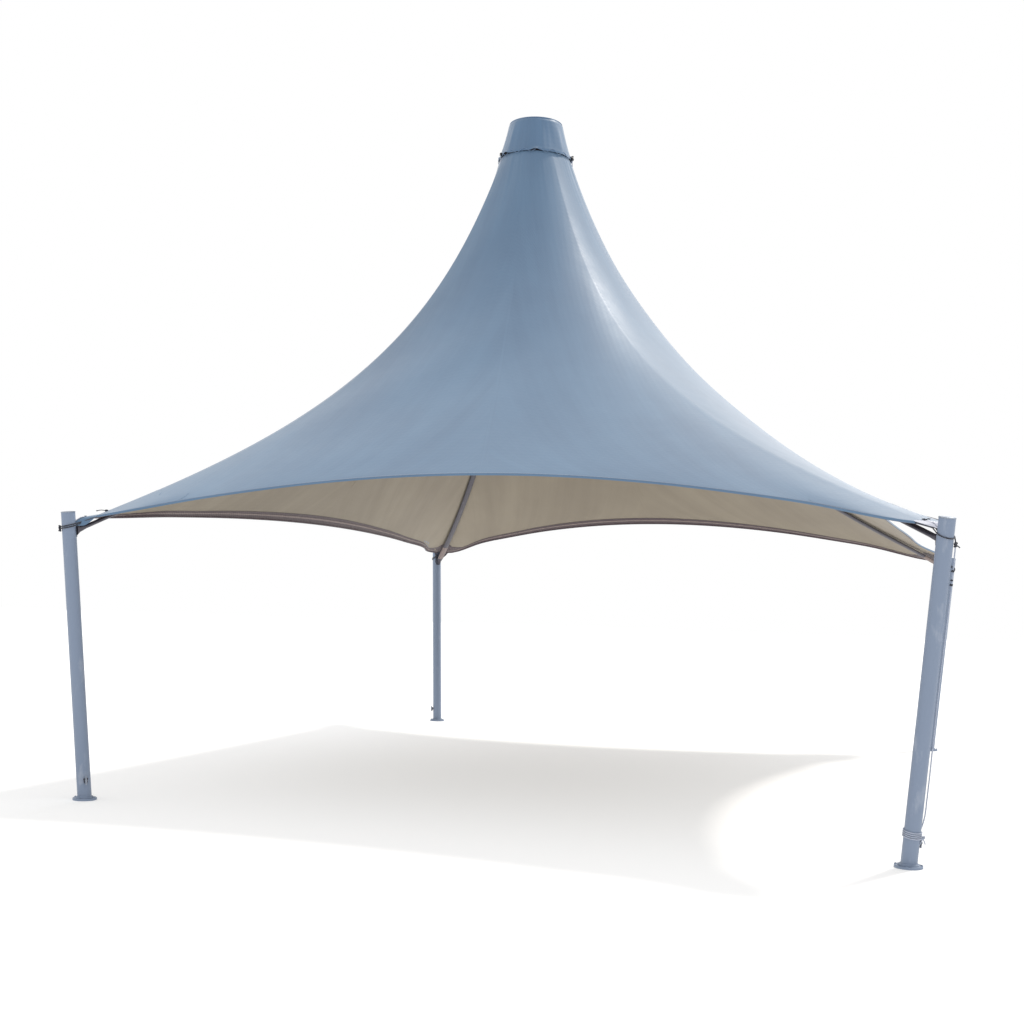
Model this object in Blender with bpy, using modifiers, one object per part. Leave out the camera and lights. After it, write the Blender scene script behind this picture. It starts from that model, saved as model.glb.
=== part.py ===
"""Conical gazebo: four leaning posts, curved rafters and a tensioned fabric cone.

Metres, +Z up. The origin is on the ground in the middle of the four posts.
The front faces -Y. Each corner is worked out in its own frame, with X pointing
away from the middle along the diagonal, and is then turned to its place.
The fabric, the rafters under its hips and the cables in its edges all follow
one net, whose points lie where the pulls along its lines balance.
"""
import math

import bmesh
import bpy
import numpy as np
from mathutils import Matrix, Vector
from mathutils.bvhtree import BVHTree

# Plan and heights
SPAN_ACROSS = 7.0           # between the post tops, left to right
SPAN_DEEP = 8.4             # between the post tops, front to back
POST_HEIGHT = 2.4
LEFT_POST_LEAN = math.radians(5.8)
RIGHT_POST_LEAN = math.radians(9.0)
PEAK_HEIGHT = 6.93
CROWN_CENTRE = (-0.82, 0.0)     # the crown stands to the left of the middle
FIT = 0.0003                # gap between pieces that touch
FACET_FIT = 0.0007          # the same gap round a bar, with room for its flat facets

# Posts and their feet
POST_RADIUS = 0.05715
POST_WALL = 0.0045
POST_CAP = 0.010
POST_CHAMFER = 0.004
FLANGE_RADIUS = 0.098
FLANGE_THICKNESS = 0.018
FLANGE_CHAMFER = 0.003
COLLAR_RADIUS = 0.070
COLLAR_HEIGHT = 0.030
COLLAR_TAPER = 0.004
CLEAT_HEIGHT = 0.17
CLEAT_REACH = 0.034
CLEAT_HORN = 0.036
CLEAT_RADIUS = 0.007
CLEAT_STEM_RADIUS = 0.009

# Canopy
SHEET = 0.005
CORNER_INSET = 0.22         # from the post's axis to the fabric's corner
CORNER_HEIGHT = 2.37
CORNER_HALF_WIDTH = 0.06
RING_RADIUS = 0.385
RING_HEIGHT = PEAK_HEIGHT - 0.42
HOOP_PULL = 6.5             # hoop tension against the pull down the cone
EDGE_PULL = 1.48            # tension of the edge cables
LEFT_EDGE_PULL = 4.85       # the left edge is drawn tighter, so it runs straighter
RIGHT_HIP_PULL = 0.24       # tension carried down the hips
LEFT_HIP_PULL = 1.22
ROWS = 18
COLUMNS = 64
SEAM_GAP = 0.00025

# Rafters, their sockets and the gusset that stiffens each socket
RAFTER_RADIUS = 0.03015
RAFTER_FIT = 0.0012         # from a rafter's bent line to the cloth
RAFTER_DIP = 0.014          # how far a rafter drops from the cloth at its foot
RAFTER_DIP_ROWS = 4
RAFTER_END_GAP = 0.0013     # from a rafter's cut end to the post's side
SOCKET_RADIUS = 0.0375
SOCKET_LENGTH = 0.095
GUSSET_HALF_HEIGHT = 0.072
GUSSET_REACH = 0.075
GUSSET_THICKNESS = 0.010

# Edge cables, corner plates and lashings
CABLE_RADIUS = 0.010
CABLE_FIT = 0.0004          # from the cloth's edge to the cable
PLATE_THICKNESS = 0.010
PLATE_LENGTH = 0.115
PLATE_HALF_WIDTH = 0.095
PLATE_HALF_TIP = 0.040
PLATE_SHOULDER = 0.025      # how far the plate keeps its full width
PLATE_GAP = 0.0005          # from the cloth's corner edge to the plate
CABLE_END_GAP = 0.0006      # from a cable's end to the plate
ROPE_RADIUS = 0.008
ROPE_END_GAP = 0.0042       # from the plate's tip to the middle of the rope's end
ROPE_INSET = 0.012          # from the plate's corners to the rope's ends
LASHING_HEIGHT = 2.262      # where the rope lies on the post's outer side
LASHING_RISE = 0.55         # share of the rise to the plate made while still on the post
LASHING_STEPS = 18
KNOT_RADIUS = 0.019
KNOT_ANGLE = math.radians(25.0)
KNOT_REACH = 0.012          # from the rope's middle line to the knot's

# Crown and hood
CROWN_RADIUS = 0.3606
CROWN_PIPE = 0.0195
CROWN_DROP = 0.005          # the crown ring's centre below the cloth's top edge
STRUT_RADIUS = 0.010
LACE_RADIUS = 0.012
LACE_RING_RADIUS = 0.3882
HOOD_TOP_RADIUS = 0.290
HOOD_BASE_RADIUS = 0.391
HOOD_BASE_HEIGHT = RING_HEIGHT + 2.0 * LACE_RADIUS + 2.0 * FIT
HOOD_RISE = 0.016           # how far the lid is domed
HOOD_SHELL = 0.004
HOOD_ROUNDING = 0.012
LID_HEIGHT = PEAK_HEIGHT - HOOD_RISE - HOOD_ROUNDING     # underside of the lid
HEAD_RING_RADIUS = 0.262
HEAD_RING_PIPE = 0.012

# Rope tied down the front right post
TIE_ROPE_RADIUS = 0.005
TIE_TURNS = 4
TIE_STEPS = 12              # points in each turn
TIE_PITCH = 0.0135
TIE_LOW = 0.215
TIE_START = math.radians(62.0)
TIE_SLACK = 0.0075          # how far the hanging rope stands off before its first turn
TIE_LEAD = 0.10             # height over which it comes in to the post

CORNER_ANGLE = math.degrees(math.atan2(SPAN_DEEP, SPAN_ACROSS))
CORNERS = {
    "back_right": CORNER_ANGLE,
    "back_left": 180.0 - CORNER_ANGLE,
    "front_left": 180.0 + CORNER_ANGLE,
    "front_right": 360.0 - CORNER_ANGLE,
}
PANELS = (
    "right_back", "back_right", "back_left", "left_back",
    "left_front", "front_left", "front_right", "right_front",
)
EDGES = ("back", "left", "front", "right")

FINISHES = {
    "powder_coated_steel": ((0.25, 0.32, 0.42, 1.0), 0.45, 0.0),
    "galvanised_steel": ((0.42, 0.45, 0.50, 1.0), 0.40, 0.9),
    "canopy_fabric": ((0.16, 0.25, 0.37, 1.0), 0.60, 0.0),
    "dark_webbing": ((0.045, 0.035, 0.045, 1.0), 0.75, 0.0),
    "dark_rope": ((0.03, 0.03, 0.035, 1.0), 0.85, 0.0),
    "pale_rope": ((0.55, 0.56, 0.58, 1.0), 0.85, 0.0),
}


# Scene, collections and materials

def clear_scene():
    for obj in list(bpy.data.objects):
        bpy.data.objects.remove(obj, do_unlink=True)


def new_collection(name):
    collection = bpy.data.collections.new(name)
    bpy.context.scene.collection.children.link(collection)
    return collection


def new_material(name, finish):
    colour, roughness, metallic = FINISHES[finish]
    material = bpy.data.materials.new(name + "_" + finish)
    material.use_nodes = True
    shader = material.node_tree.nodes["Principled BSDF"]
    shader.inputs["Base Color"].default_value = colour
    shader.inputs["Roughness"].default_value = roughness
    shader.inputs["Metallic"].default_value = metallic
    material.diffuse_color = colour
    return material


def add_object(name, data, place=None):
    obj = bpy.data.objects.new(name, data)
    PARTS.objects.link(obj)
    if place is not None:
        obj.matrix_world = place
    return obj


def finish_object(obj, finish):
    obj.data.materials.clear()
    obj.data.materials.append(new_material(obj.name, finish))
    return obj


def mesh_from(bm, name):
    bmesh.ops.recalc_face_normals(bm, faces=bm.faces)
    mesh = bpy.data.meshes.new(name)
    bm.to_mesh(mesh)
    bm.free()
    mesh.shade_smooth()
    mesh.set_sharp_from_angle(angle=math.radians(35.0))
    return mesh


def baked(obj):
    """A mesh copy of an object as it evaluates, with its open ends welded shut."""
    bpy.context.view_layer.update()
    graph = bpy.context.evaluated_depsgraph_get()
    mesh = bpy.data.meshes.new_from_object(obj.evaluated_get(graph))
    bm = bmesh.new()
    bm.from_mesh(mesh)
    bmesh.ops.remove_doubles(bm, verts=bm.verts, dist=0.00001)
    bm.to_mesh(mesh)
    bm.free()
    mesh.shade_smooth()
    mesh.set_sharp_from_angle(angle=math.radians(35.0))
    place = obj.matrix_world.copy()
    name = obj.name
    bpy.data.objects.remove(obj, do_unlink=True)
    return add_object(name, mesh, place)


def boolean(obj, other, operation):
    """Cuts or joins with another object, which then becomes a hidden helper."""
    modifier = obj.modifiers.new(operation.title(), "BOOLEAN")
    modifier.operation = operation
    modifier.solver = "EXACT"
    modifier.object = other
    for holder in list(other.users_collection):
        holder.objects.unlink(other)
    CUTTERS.objects.link(other)
    other.hide_render = True
    other.display_type = "WIRE"


# Basic shapes

def cylinder(name, radius, length, segments, place):
    """A cylinder from its place's origin along its place's Z."""
    bm = bmesh.new()
    shift = Matrix.Translation((0.0, 0.0, length / 2.0))
    bmesh.ops.create_cone(
        bm, cap_ends=True, segments=segments, radius1=radius, radius2=radius,
        depth=length, matrix=shift,
    )
    return add_object(name, mesh_from(bm, name), place)


def block(name, size, place):
    """A box about its place's origin."""
    bm = bmesh.new()
    bmesh.ops.create_cube(bm, size=1.0, matrix=Matrix.Diagonal((*size, 1.0)))
    return add_object(name, mesh_from(bm, name), place)


def turned(name, profile, segments, place=None):
    """A solid of revolution from (radius, height) points, from the top down its outer side."""
    mesh = bpy.data.meshes.new(name)
    points = [(radius, 0.0, height) for radius, height in profile]
    steps = [(i, i + 1) for i in range(len(points) - 1)]
    if profile[0][0] > 0.0:
        steps.append((len(points) - 1, 0))
    mesh.from_pydata(points, steps, [])
    obj = add_object(name, mesh, place)
    screw = obj.modifiers.new("Screw", "SCREW")
    screw.steps = segments
    screw.render_steps = segments
    screw.use_merge_vertices = True
    screw.merge_threshold = 0.00001
    screw.use_smooth_shade = True
    return obj


def tube(name, points, radius, resolution):
    """A round bar along a list of points."""
    curve = bpy.data.curves.new(name, "CURVE")
    curve.dimensions = "3D"
    curve.bevel_depth = radius
    curve.bevel_resolution = resolution
    curve.use_fill_caps = True
    spline = curve.splines.new("POLY")
    spline.points.add(len(points) - 1)
    for slot, point in zip(spline.points, points):
        slot.co = (*point, 1.0)
    return add_object(name, curve)


def ring_bar(name, ring_radius, height, bar_radius, segments, sides, place):
    """A round bar bent into a level ring."""
    profile = []
    for step in range(sides):
        angle = math.radians(90.0) - 2.0 * math.pi * step / sides
        profile.append((ring_radius + bar_radius * math.cos(angle), height + bar_radius * math.sin(angle)))
    return turned(name, profile, segments, place)


def along(direction, origin):
    """A place whose Z runs along a direction from an origin."""
    turn = Vector(direction).to_track_quat("Z", "Y").to_matrix().to_4x4()
    return Matrix.Translation(Vector(origin)) @ turn


# Corner frames

TOP_RADIUS = math.hypot(SPAN_ACROSS, SPAN_DEEP) / 2.0


def post_lean(angle):
    """How far a post leans outwards: the crown stands to the left, so the right posts lean more."""
    return RIGHT_POST_LEAN if math.cos(math.radians(angle)) > 0.0 else LEFT_POST_LEAN


def corner_frame(angle):
    """The corner's frame: origin at the post's foot, X away from the middle."""
    turn = Matrix.Rotation(math.radians(angle), 4, "Z")
    foot_radius = TOP_RADIUS - POST_HEIGHT * math.tan(post_lean(angle))
    return turn @ Matrix.Translation((foot_radius, 0.0, 0.0))


def post_frame(angle):
    """The same frame leaned over, so that its Z is the post's axis."""
    return corner_frame(angle) @ Matrix.Rotation(post_lean(angle), 4, "Y")


def corner_tip(angle):
    """The middle of the fabric's corner edge."""
    turn = Matrix.Rotation(math.radians(angle), 4, "Z")
    return turn @ Vector((TOP_RADIUS - CORNER_INSET, 0.0, CORNER_HEIGHT))


# The fabric's shape: a net of tensions in balance

def corner_columns():
    """Column number of each corner, by name: the net has a quarter of its columns on each side."""
    quarter = COLUMNS // len(CORNERS)
    return {name: quarter // 2 + quarter * index for index, name in enumerate(CORNERS)}


def fixed_points():
    """The grid points that are held: the crown ring and the four corner edges."""
    held = {}
    for column in range(COLUMNS):
        angle = 2.0 * math.pi * column / COLUMNS
        held[(0, column)] = (
            CROWN_CENTRE[0] + RING_RADIUS * math.cos(angle),
            CROWN_CENTRE[1] + RING_RADIUS * math.sin(angle),
            RING_HEIGHT,
        )
    for name, column in corner_columns().items():
        tip = corner_tip(CORNERS[name])
        side = Matrix.Rotation(math.radians(CORNERS[name]), 3, "Z") @ Vector((0.0, 1.0, 0.0))
        for step in (-1, 0, 1):
            held[(ROWS, column + step)] = tuple(tip + side * CORNER_HALF_WIDTH * step)
    return held


def edge_pull(column):
    """Tension of the edge cable between a column and the next one."""
    corners = corner_columns()
    on_left = corners["back_left"] <= column < corners["front_left"]
    return LEFT_EDGE_PULL if on_left else EDGE_PULL


def net_links():
    """Pairs of grid points with the tension between them."""
    down = 1.0 / ROWS
    round_step = 2.0 * math.pi / COLUMNS
    hips = {}
    for name, column in corner_columns().items():
        hips[column] = LEFT_HIP_PULL if name.endswith("left") else RIGHT_HIP_PULL
    for row in range(ROWS + 1):
        for column in range(COLUMNS):
            here = (row, column)
            beside = (row, (column + 1) % COLUMNS)
            if row < ROWS:
                pull = round_step / down
                if column in hips:
                    pull += hips[column] / down
                yield here, (row + 1, column), pull
            if 0 < row < ROWS:
                yield here, beside, HOOP_PULL * down / round_step
            if row == ROWS:
                hem = 0.5 * HOOP_PULL * down / round_step
                yield here, beside, hem + edge_pull(column) / round_step


def solve_net():
    """Grid of points, rows from the crown to the edge, where every pull balances."""
    held = fixed_points()
    net = np.zeros((ROWS + 1, COLUMNS, 3))
    number = {}
    for row in range(ROWS + 1):
        for column in range(COLUMNS):
            if (row, column) in held:
                net[row, column] = held[(row, column)]
            else:
                number[(row, column)] = len(number)
    matrix = np.zeros((len(number), len(number)))
    loads = np.zeros((len(number), 3))
    for first, second, pull in net_links():
        for here, there in ((first, second), (second, first)):
            if here not in number:
                continue
            matrix[number[here], number[here]] += pull
            if there in number:
                matrix[number[here], number[there]] -= pull
            else:
                loads[number[here]] += pull * np.array(held[there])
    solved = np.linalg.solve(matrix, loads)
    for (row, column), place in number.items():
        net[row, column] = solved[place]
    return net


def net_normals(net):
    """Unit normals of the net, pointing out of the cone."""
    around = np.roll(net, -1, axis=1) - np.roll(net, 1, axis=1)
    down = np.gradient(net, axis=0)
    normals = np.cross(down, around)
    normals /= np.linalg.norm(normals, axis=2, keepdims=True)
    return normals


# Canopy panels

def panel_mesh(name, outer, inner):
    """A closed sheet between an outer and an inner grid of points."""
    rows, columns = outer.shape[:2]
    bm = bmesh.new()
    skins = []
    for grid in (outer, inner):
        skins.append([[bm.verts.new(grid[r, c]) for c in range(columns)] for r in range(rows)])
    top, bottom = skins
    for r in range(rows - 1):
        for c in range(columns - 1):
            bm.faces.new((top[r][c], top[r + 1][c], top[r + 1][c + 1], top[r][c + 1]))
            bm.faces.new((bottom[r][c], bottom[r][c + 1], bottom[r + 1][c + 1], bottom[r + 1][c]))
    rim = [(0, c) for c in range(columns)]
    rim += [(r, columns - 1) for r in range(1, rows)]
    rim += [(rows - 1, c) for c in range(columns - 2, -1, -1)]
    rim += [(r, 0) for r in range(rows - 2, 0, -1)]
    for (r1, c1), (r2, c2) in zip(rim, rim[1:] + rim[:1]):
        bm.faces.new((top[r1][c1], top[r2][c2], bottom[r2][c2], bottom[r1][c1]))
    return mesh_from(bm, name)


def canopy_panels(net, normals):
    """Eight gores, parted along the hips and along the middle of each side."""
    span = COLUMNS // len(PANELS)
    for index, name in enumerate(PANELS):
        columns = [(index * span + step) % COLUMNS for step in range(span + 1)]
        outer = net[:, columns].copy()
        for edge, neighbour in ((0, 1), (-1, -2)):
            inward = outer[:, neighbour] - outer[:, edge]
            inward /= np.linalg.norm(inward, axis=1, keepdims=True)
            outer[:, edge] += inward * SEAM_GAP
        inner = outer - normals[:, columns] * SHEET
        title = "canopy_panel_" + name
        finish_object(add_object(title, panel_mesh(title, outer, inner)), "canopy_fabric")


def inner_skin(net, normals):
    """The cloth's inner face, to lay the rafters against."""
    inner = net - normals * SHEET
    points = [Vector(p) for p in inner.reshape(-1, 3)]
    faces = []
    for row in range(ROWS):
        for column in range(COLUMNS):
            beside = (column + 1) % COLUMNS
            faces.append((
                row * COLUMNS + column, (row + 1) * COLUMNS + column,
                (row + 1) * COLUMNS + beside, row * COLUMNS + beside,
            ))
    return BVHTree.FromPolygons(points, faces)


# Rafters

def rafter_path(net, normals, skin, name):
    """The centre line of the pipe that lies under one hip, from the crown down."""
    column = corner_columns()[name]
    path = []
    for row in range(ROWS + 1):
        inward = -Vector(normals[row, column])
        point = Vector(net[row, column]) + inward * (SHEET + RAFTER_RADIUS)
        for _ in range(8):
            distance = skin.find_nearest(point)[3]
            point += inward * max(0.0, RAFTER_RADIUS + RAFTER_FIT - distance)
        share = max(0.0, (row - ROWS + RAFTER_DIP_ROWS) / RAFTER_DIP_ROWS)
        path.append(point + inward * RAFTER_DIP * share * share)
    return path


def trim_above(path, height):
    """Cuts the start of a path off at a height."""
    for index in range(len(path) - 1):
        high, low = path[index], path[index + 1]
        if high.z > height >= low.z:
            share = (high.z - height) / (high.z - low.z)
            return [high.lerp(low, share)] + path[index + 1:]
    return path


def socket_gusset(name, place):
    """A flat upright plate through a socket, deep at the post and swept in to the socket's end.

    Its place has Z along the socket and Y up.
    """
    curve = bpy.data.curves.new("gusset_" + name, "CURVE")
    curve.dimensions = "2D"
    curve.fill_mode = "BOTH"
    curve.extrude = GUSSET_THICKNESS / 2.0
    end = SOCKET_RADIUS / 2.0
    upper = [(GUSSET_HALF_HEIGHT, 0.0)]
    for step in range(7):
        sweep = math.radians(15.0 * step)
        height = GUSSET_HALF_HEIGHT - (GUSSET_HALF_HEIGHT - end) * math.sin(sweep)
        upper.append((height, POST_RADIUS + GUSSET_REACH * (1.0 - math.cos(sweep))))
    outline = upper + [(-height, reach) for height, reach in reversed(upper)]
    spline = curve.splines.new("POLY")
    spline.points.add(len(outline) - 1)
    for slot, (height, reach) in zip(spline.points, outline):
        slot.co = (height, reach, 0.0, 1.0)
    spline.use_cyclic_u = True
    upright = Matrix(((0, 0, 1, 0), (1, 0, 0, 0), (0, 1, 0, 0), (0, 0, 0, 1)))
    return baked(add_object("gusset_" + name, curve, place @ upright))


def rafter_and_socket(net, normals, skin, name):
    path = rafter_path(net, normals, skin, name)
    slope = (path[0] - path[1]).normalized()
    end_drop = RAFTER_RADIUS * math.sqrt(1.0 - slope.z ** 2)
    path = trim_above(path, RING_HEIGHT - CROWN_DROP - CROWN_PIPE - FIT - end_drop)
    foot, run = path[-1], (path[-1] - path[-2]).normalized()
    post = post_frame(CORNERS[name])
    axis_point = post @ Vector((0.0, 0.0, LASHING_HEIGHT))
    outward = post.to_3x3() @ Vector((1.0, 0.0, 0.0))
    centre = foot + run * (axis_point - foot).dot(outward) / run.dot(outward)
    lean = math.acos(run.dot(outward))
    stop = (POST_RADIUS + RAFTER_END_GAP) / math.cos(lean) + RAFTER_RADIUS * math.tan(lean)
    path.append(centre - run * stop)
    rafter = tube("rafter_" + name, path, RAFTER_RADIUS, 4)
    finish_object(baked(rafter), "powder_coated_steel")

    inward = along(-run, centre)
    socket = cylinder("rafter_socket_" + name, SOCKET_RADIUS, POST_RADIUS + SOCKET_LENGTH, 24, inward)
    boolean(socket, socket_gusset(name, inward), "UNION")
    bore = cylinder("bore_" + name, RAFTER_RADIUS + FACET_FIT, 0.4, 24, inward)
    boolean(socket, bore, "DIFFERENCE")
    room = cylinder("post_room_" + name, POST_RADIUS + FACET_FIT, POST_HEIGHT + 0.2, 40, post)
    boolean(socket, room, "DIFFERENCE")
    finish_object(socket, "galvanised_steel")


# Posts, feet and cleats

def post_and_foot(name, angle):
    corner, leaning = corner_frame(angle), post_frame(angle)
    length = POST_HEIGHT / math.cos(post_lean(angle))
    below = FLANGE_THICKNESS - 0.05
    profile = (
        (0.0, length),
        (POST_RADIUS - POST_CHAMFER, length),
        (POST_RADIUS, length - POST_CHAMFER),
        (POST_RADIUS, below),
        (POST_RADIUS - POST_WALL, below),
        (POST_RADIUS - POST_WALL, length - POST_CAP),
        (0.0, length - POST_CAP),
    )
    post = turned("post_" + name, profile, 32, leaning)
    ground = block("ground_cut_" + name, (0.6, 0.6, 0.2),
                   corner @ Matrix.Translation((0.0, 0.0, FLANGE_THICKNESS + FIT - 0.1)))
    boolean(post, ground, "DIFFERENCE")
    finish_object(post, "powder_coated_steel")

    flange_profile = (
        (0.0, COLLAR_HEIGHT),
        (COLLAR_RADIUS - COLLAR_TAPER, COLLAR_HEIGHT),
        (COLLAR_RADIUS, FLANGE_THICKNESS + FLANGE_CHAMFER),
        (COLLAR_RADIUS + FLANGE_CHAMFER, FLANGE_THICKNESS),
        (FLANGE_RADIUS - FLANGE_CHAMFER, FLANGE_THICKNESS),
        (FLANGE_RADIUS, FLANGE_THICKNESS - FLANGE_CHAMFER),
        (FLANGE_RADIUS, 0.0),
        (0.0, 0.0),
    )
    flange = turned("base_flange_" + name, flange_profile, 28, corner)
    well = cylinder("well_" + name, POST_RADIUS + FACET_FIT, 0.3, 36,
                    leaning @ Matrix.Translation((0.0, 0.0, -0.05)))
    slab = block("well_floor_" + name, (0.4, 0.4, 0.3),
                 corner @ Matrix.Translation((0.0, 0.0, FLANGE_THICKNESS - 0.15)))
    boolean(well, slab, "DIFFERENCE")
    boolean(flange, well, "DIFFERENCE")
    finish_object(flange, "powder_coated_steel")


def tie_cleat(name, angle):
    """A two-horned cleat on the post's side, near the ground."""
    post = post_frame(angle)
    root = POST_RADIUS / 2.0
    tip = POST_RADIUS + CLEAT_REACH
    stem_place = post @ Matrix.Translation((0.0, root, CLEAT_HEIGHT))
    stem_place = stem_place @ Matrix.Rotation(math.radians(-90.0), 4, "X")
    stem = cylinder("tie_cleat_" + name, CLEAT_STEM_RADIUS, tip - root, 12, stem_place)
    horn_place = post @ Matrix.Translation((0.0, tip - CLEAT_RADIUS, CLEAT_HEIGHT - CLEAT_HORN))
    horn = cylinder("horn_" + name, CLEAT_RADIUS, 2.0 * CLEAT_HORN, 12, horn_place)
    boolean(stem, horn, "UNION")
    room = cylinder("cleat_room_" + name, POST_RADIUS + FACET_FIT, POST_HEIGHT, 40, post)
    boolean(stem, room, "DIFFERENCE")
    finish_object(stem, "galvanised_steel")


# Corner plates, lashings and edge cables

def plate_frame(net, name):
    """Origin in the middle of the plate's inner edge, X outward along the hip."""
    column = corner_columns()[name]
    tip = Vector(net[ROWS, column])
    outward = tip - Vector(net[ROWS - 1, column])
    side = Matrix.Rotation(math.radians(CORNERS[name]), 3, "Z") @ Vector((0.0, 1.0, 0.0))
    outward -= side * outward.dot(side)
    outward.normalize()
    up = outward.cross(side)
    if up.z < 0.0:
        up = -up
    frame = Matrix.Identity(4)
    frame.col[0][:3] = outward
    frame.col[1][:3] = up.cross(outward)
    frame.col[2][:3] = up
    frame.col[3][:3] = tip - up * SHEET / 2.0 + outward * PLATE_GAP
    return frame


def corner_plate(name, frame):
    """A flat steel plate that gathers the cloth and both edge cables."""
    curve = bpy.data.curves.new("corner_plate_" + name, "CURVE")
    curve.dimensions = "2D"
    curve.fill_mode = "BOTH"
    curve.extrude = PLATE_THICKNESS / 2.0
    outline = (
        (0.0, -PLATE_HALF_WIDTH), (PLATE_SHOULDER, -PLATE_HALF_WIDTH),
        (PLATE_LENGTH, -PLATE_HALF_TIP), (PLATE_LENGTH, PLATE_HALF_TIP),
        (PLATE_SHOULDER, PLATE_HALF_WIDTH), (0.0, PLATE_HALF_WIDTH),
    )
    spline = curve.splines.new("POLY")
    spline.points.add(len(outline) - 1)
    for slot, (x, y) in zip(spline.points, outline):
        slot.co = (x, y, 0.0, 1.0)
    spline.use_cyclic_u = True
    plate = baked(add_object("corner_plate_" + name, curve, frame))
    finish_object(plate, "galvanised_steel")


def lashing(name, frame):
    """A rope from the plate round the post and back. Returns the middle of its knot."""
    post = post_frame(CORNERS[name])
    back = post.inverted()
    loop_radius = POST_RADIUS + ROPE_RADIUS + FACET_FIT
    ends = []
    for side in (-1.0, 1.0):
        tip = Vector((PLATE_LENGTH + ROPE_END_GAP, side * (PLATE_HALF_TIP - ROPE_INSET), 0.0))
        ends.append(back @ frame @ tip)
    start = math.atan2(ends[1].y, ends[1].x) - math.acos(loop_radius / math.hypot(ends[1].x, ends[1].y))
    rise = (ends[0].z - ROPE_INSET - LASHING_HEIGHT) * LASHING_RISE

    def on_post(turn, radius):
        share = (1.0 - math.cos(turn)) / (1.0 - math.cos(start))
        height = LASHING_HEIGHT + rise * share
        return Vector((radius * math.cos(turn), radius * math.sin(turn), height))

    points = [ends[0]]
    for step in range(LASHING_STEPS + 1):
        points.append(on_post(start * (2.0 * step / LASHING_STEPS - 1.0), loop_radius))
    points.append(ends[1])
    rope = baked(tube("lashing_" + name, [post @ p for p in points], ROPE_RADIUS, 2))
    middle = post @ on_post(KNOT_ANGLE, loop_radius + KNOT_REACH)
    bm = bmesh.new()
    bmesh.ops.create_icosphere(bm, subdivisions=2, radius=KNOT_RADIUS)
    knot = add_object("knot_" + name, mesh_from(bm, "knot"), Matrix.Translation(middle))
    boolean(rope, knot, "UNION")
    finish_object(rope, "dark_rope")
    return middle


def edge_cable(net, normals, index, frames):
    """The cable in the hem between two corners, ending at their plates."""
    names = list(CORNERS)
    first, last = names[index], names[(index + 1) % len(names)]
    start = corner_columns()[first] + 1
    count = COLUMNS // 4 - 2
    columns = [(start + step) % COLUMNS for step in range(count + 1)]
    line = [Vector(net[ROWS, c]) - Vector(normals[ROWS, c]) * SHEET / 2.0 for c in columns]
    path = []
    for step, column in enumerate(columns):
        normal = Vector(normals[ROWS, column])
        run = (line[min(step + 1, count)] - line[max(step - 1, 0)]).normalized()
        outward = Vector(net[ROWS, column]) - Vector(net[ROWS - 1, column])
        outward -= run * outward.dot(run)
        outward -= normal * outward.dot(normal)
        path.append(line[step] + outward.normalized() * (CABLE_RADIUS + CABLE_FIT))
    path[0] = meet_plate(path[0], path[1], frames[first])
    path[-1] = meet_plate(path[-1], path[-2], frames[last])
    cable = baked(tube("edge_cable_" + EDGES[index], path, CABLE_RADIUS, 2))
    finish_object(cable, "dark_webbing")


def meet_plate(end, inner, frame):
    """Moves a cable's end along its run until its rim just clears the plate."""
    outward = Vector(frame.col[0][:3])
    origin = Vector(frame.col[3][:3])
    run = (end - inner).normalized()
    slant = math.sqrt(1.0 - run.dot(outward) ** 2)
    wanted = -(CABLE_RADIUS * slant + CABLE_END_GAP)
    return end + run * ((wanted - (end - origin).dot(outward)) / run.dot(outward))


# Crown, hood and lacing

def crown_place():
    return Matrix.Translation((CROWN_CENTRE[0], CROWN_CENTRE[1], 0.0))


def crown_frame():
    """Crown ring, four struts and the smaller ring that carries the hood."""
    low = RING_HEIGHT - CROWN_DROP
    high = LID_HEIGHT - FIT - HEAD_RING_PIPE
    place = crown_place()
    crown = ring_bar("crown_frame", CROWN_RADIUS, low, CROWN_PIPE, 32, 10, place)
    head = ring_bar("head_ring", HEAD_RING_RADIUS, high, HEAD_RING_PIPE, 32, 8, place)
    boolean(crown, head, "UNION")
    for index in range(4):
        turn = Matrix.Rotation(math.radians(90.0 * index), 3, "Z")
        foot = turn @ Vector((CROWN_RADIUS, 0.0, low))
        top = turn @ Vector((HEAD_RING_RADIUS, 0.0, high))
        strut = cylinder("strut_%d" % index, STRUT_RADIUS, (top - foot).length, 12,
                         place @ along(top - foot, foot))
        boolean(crown, strut, "UNION")
    finish_object(crown, "powder_coated_steel")


def hood():
    shoulder = PEAK_HEIGHT - HOOD_RISE
    profile = (
        (0.0, PEAK_HEIGHT),
        (HOOD_TOP_RADIUS - HOOD_ROUNDING, shoulder + HOOD_ROUNDING / 3.0),
        (HOOD_TOP_RADIUS, shoulder - HOOD_ROUNDING * 2.0 / 3.0),
        (HOOD_BASE_RADIUS, HOOD_BASE_HEIGHT),
        (HOOD_BASE_RADIUS - HOOD_SHELL, HOOD_BASE_HEIGHT),
        (HOOD_TOP_RADIUS - HOOD_SHELL, LID_HEIGHT),
        (0.0, LID_HEIGHT),
    )
    finish_object(turned("hood", profile, 48, crown_place()), "canopy_fabric")


def hood_lacing():
    height = RING_HEIGHT + LACE_RADIUS + FIT
    lace = ring_bar("hood_lacing", LACE_RING_RADIUS, height, LACE_RADIUS, 32, 8, crown_place())
    finish_object(lace, "pale_rope")


# Rope down the front right post

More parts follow.
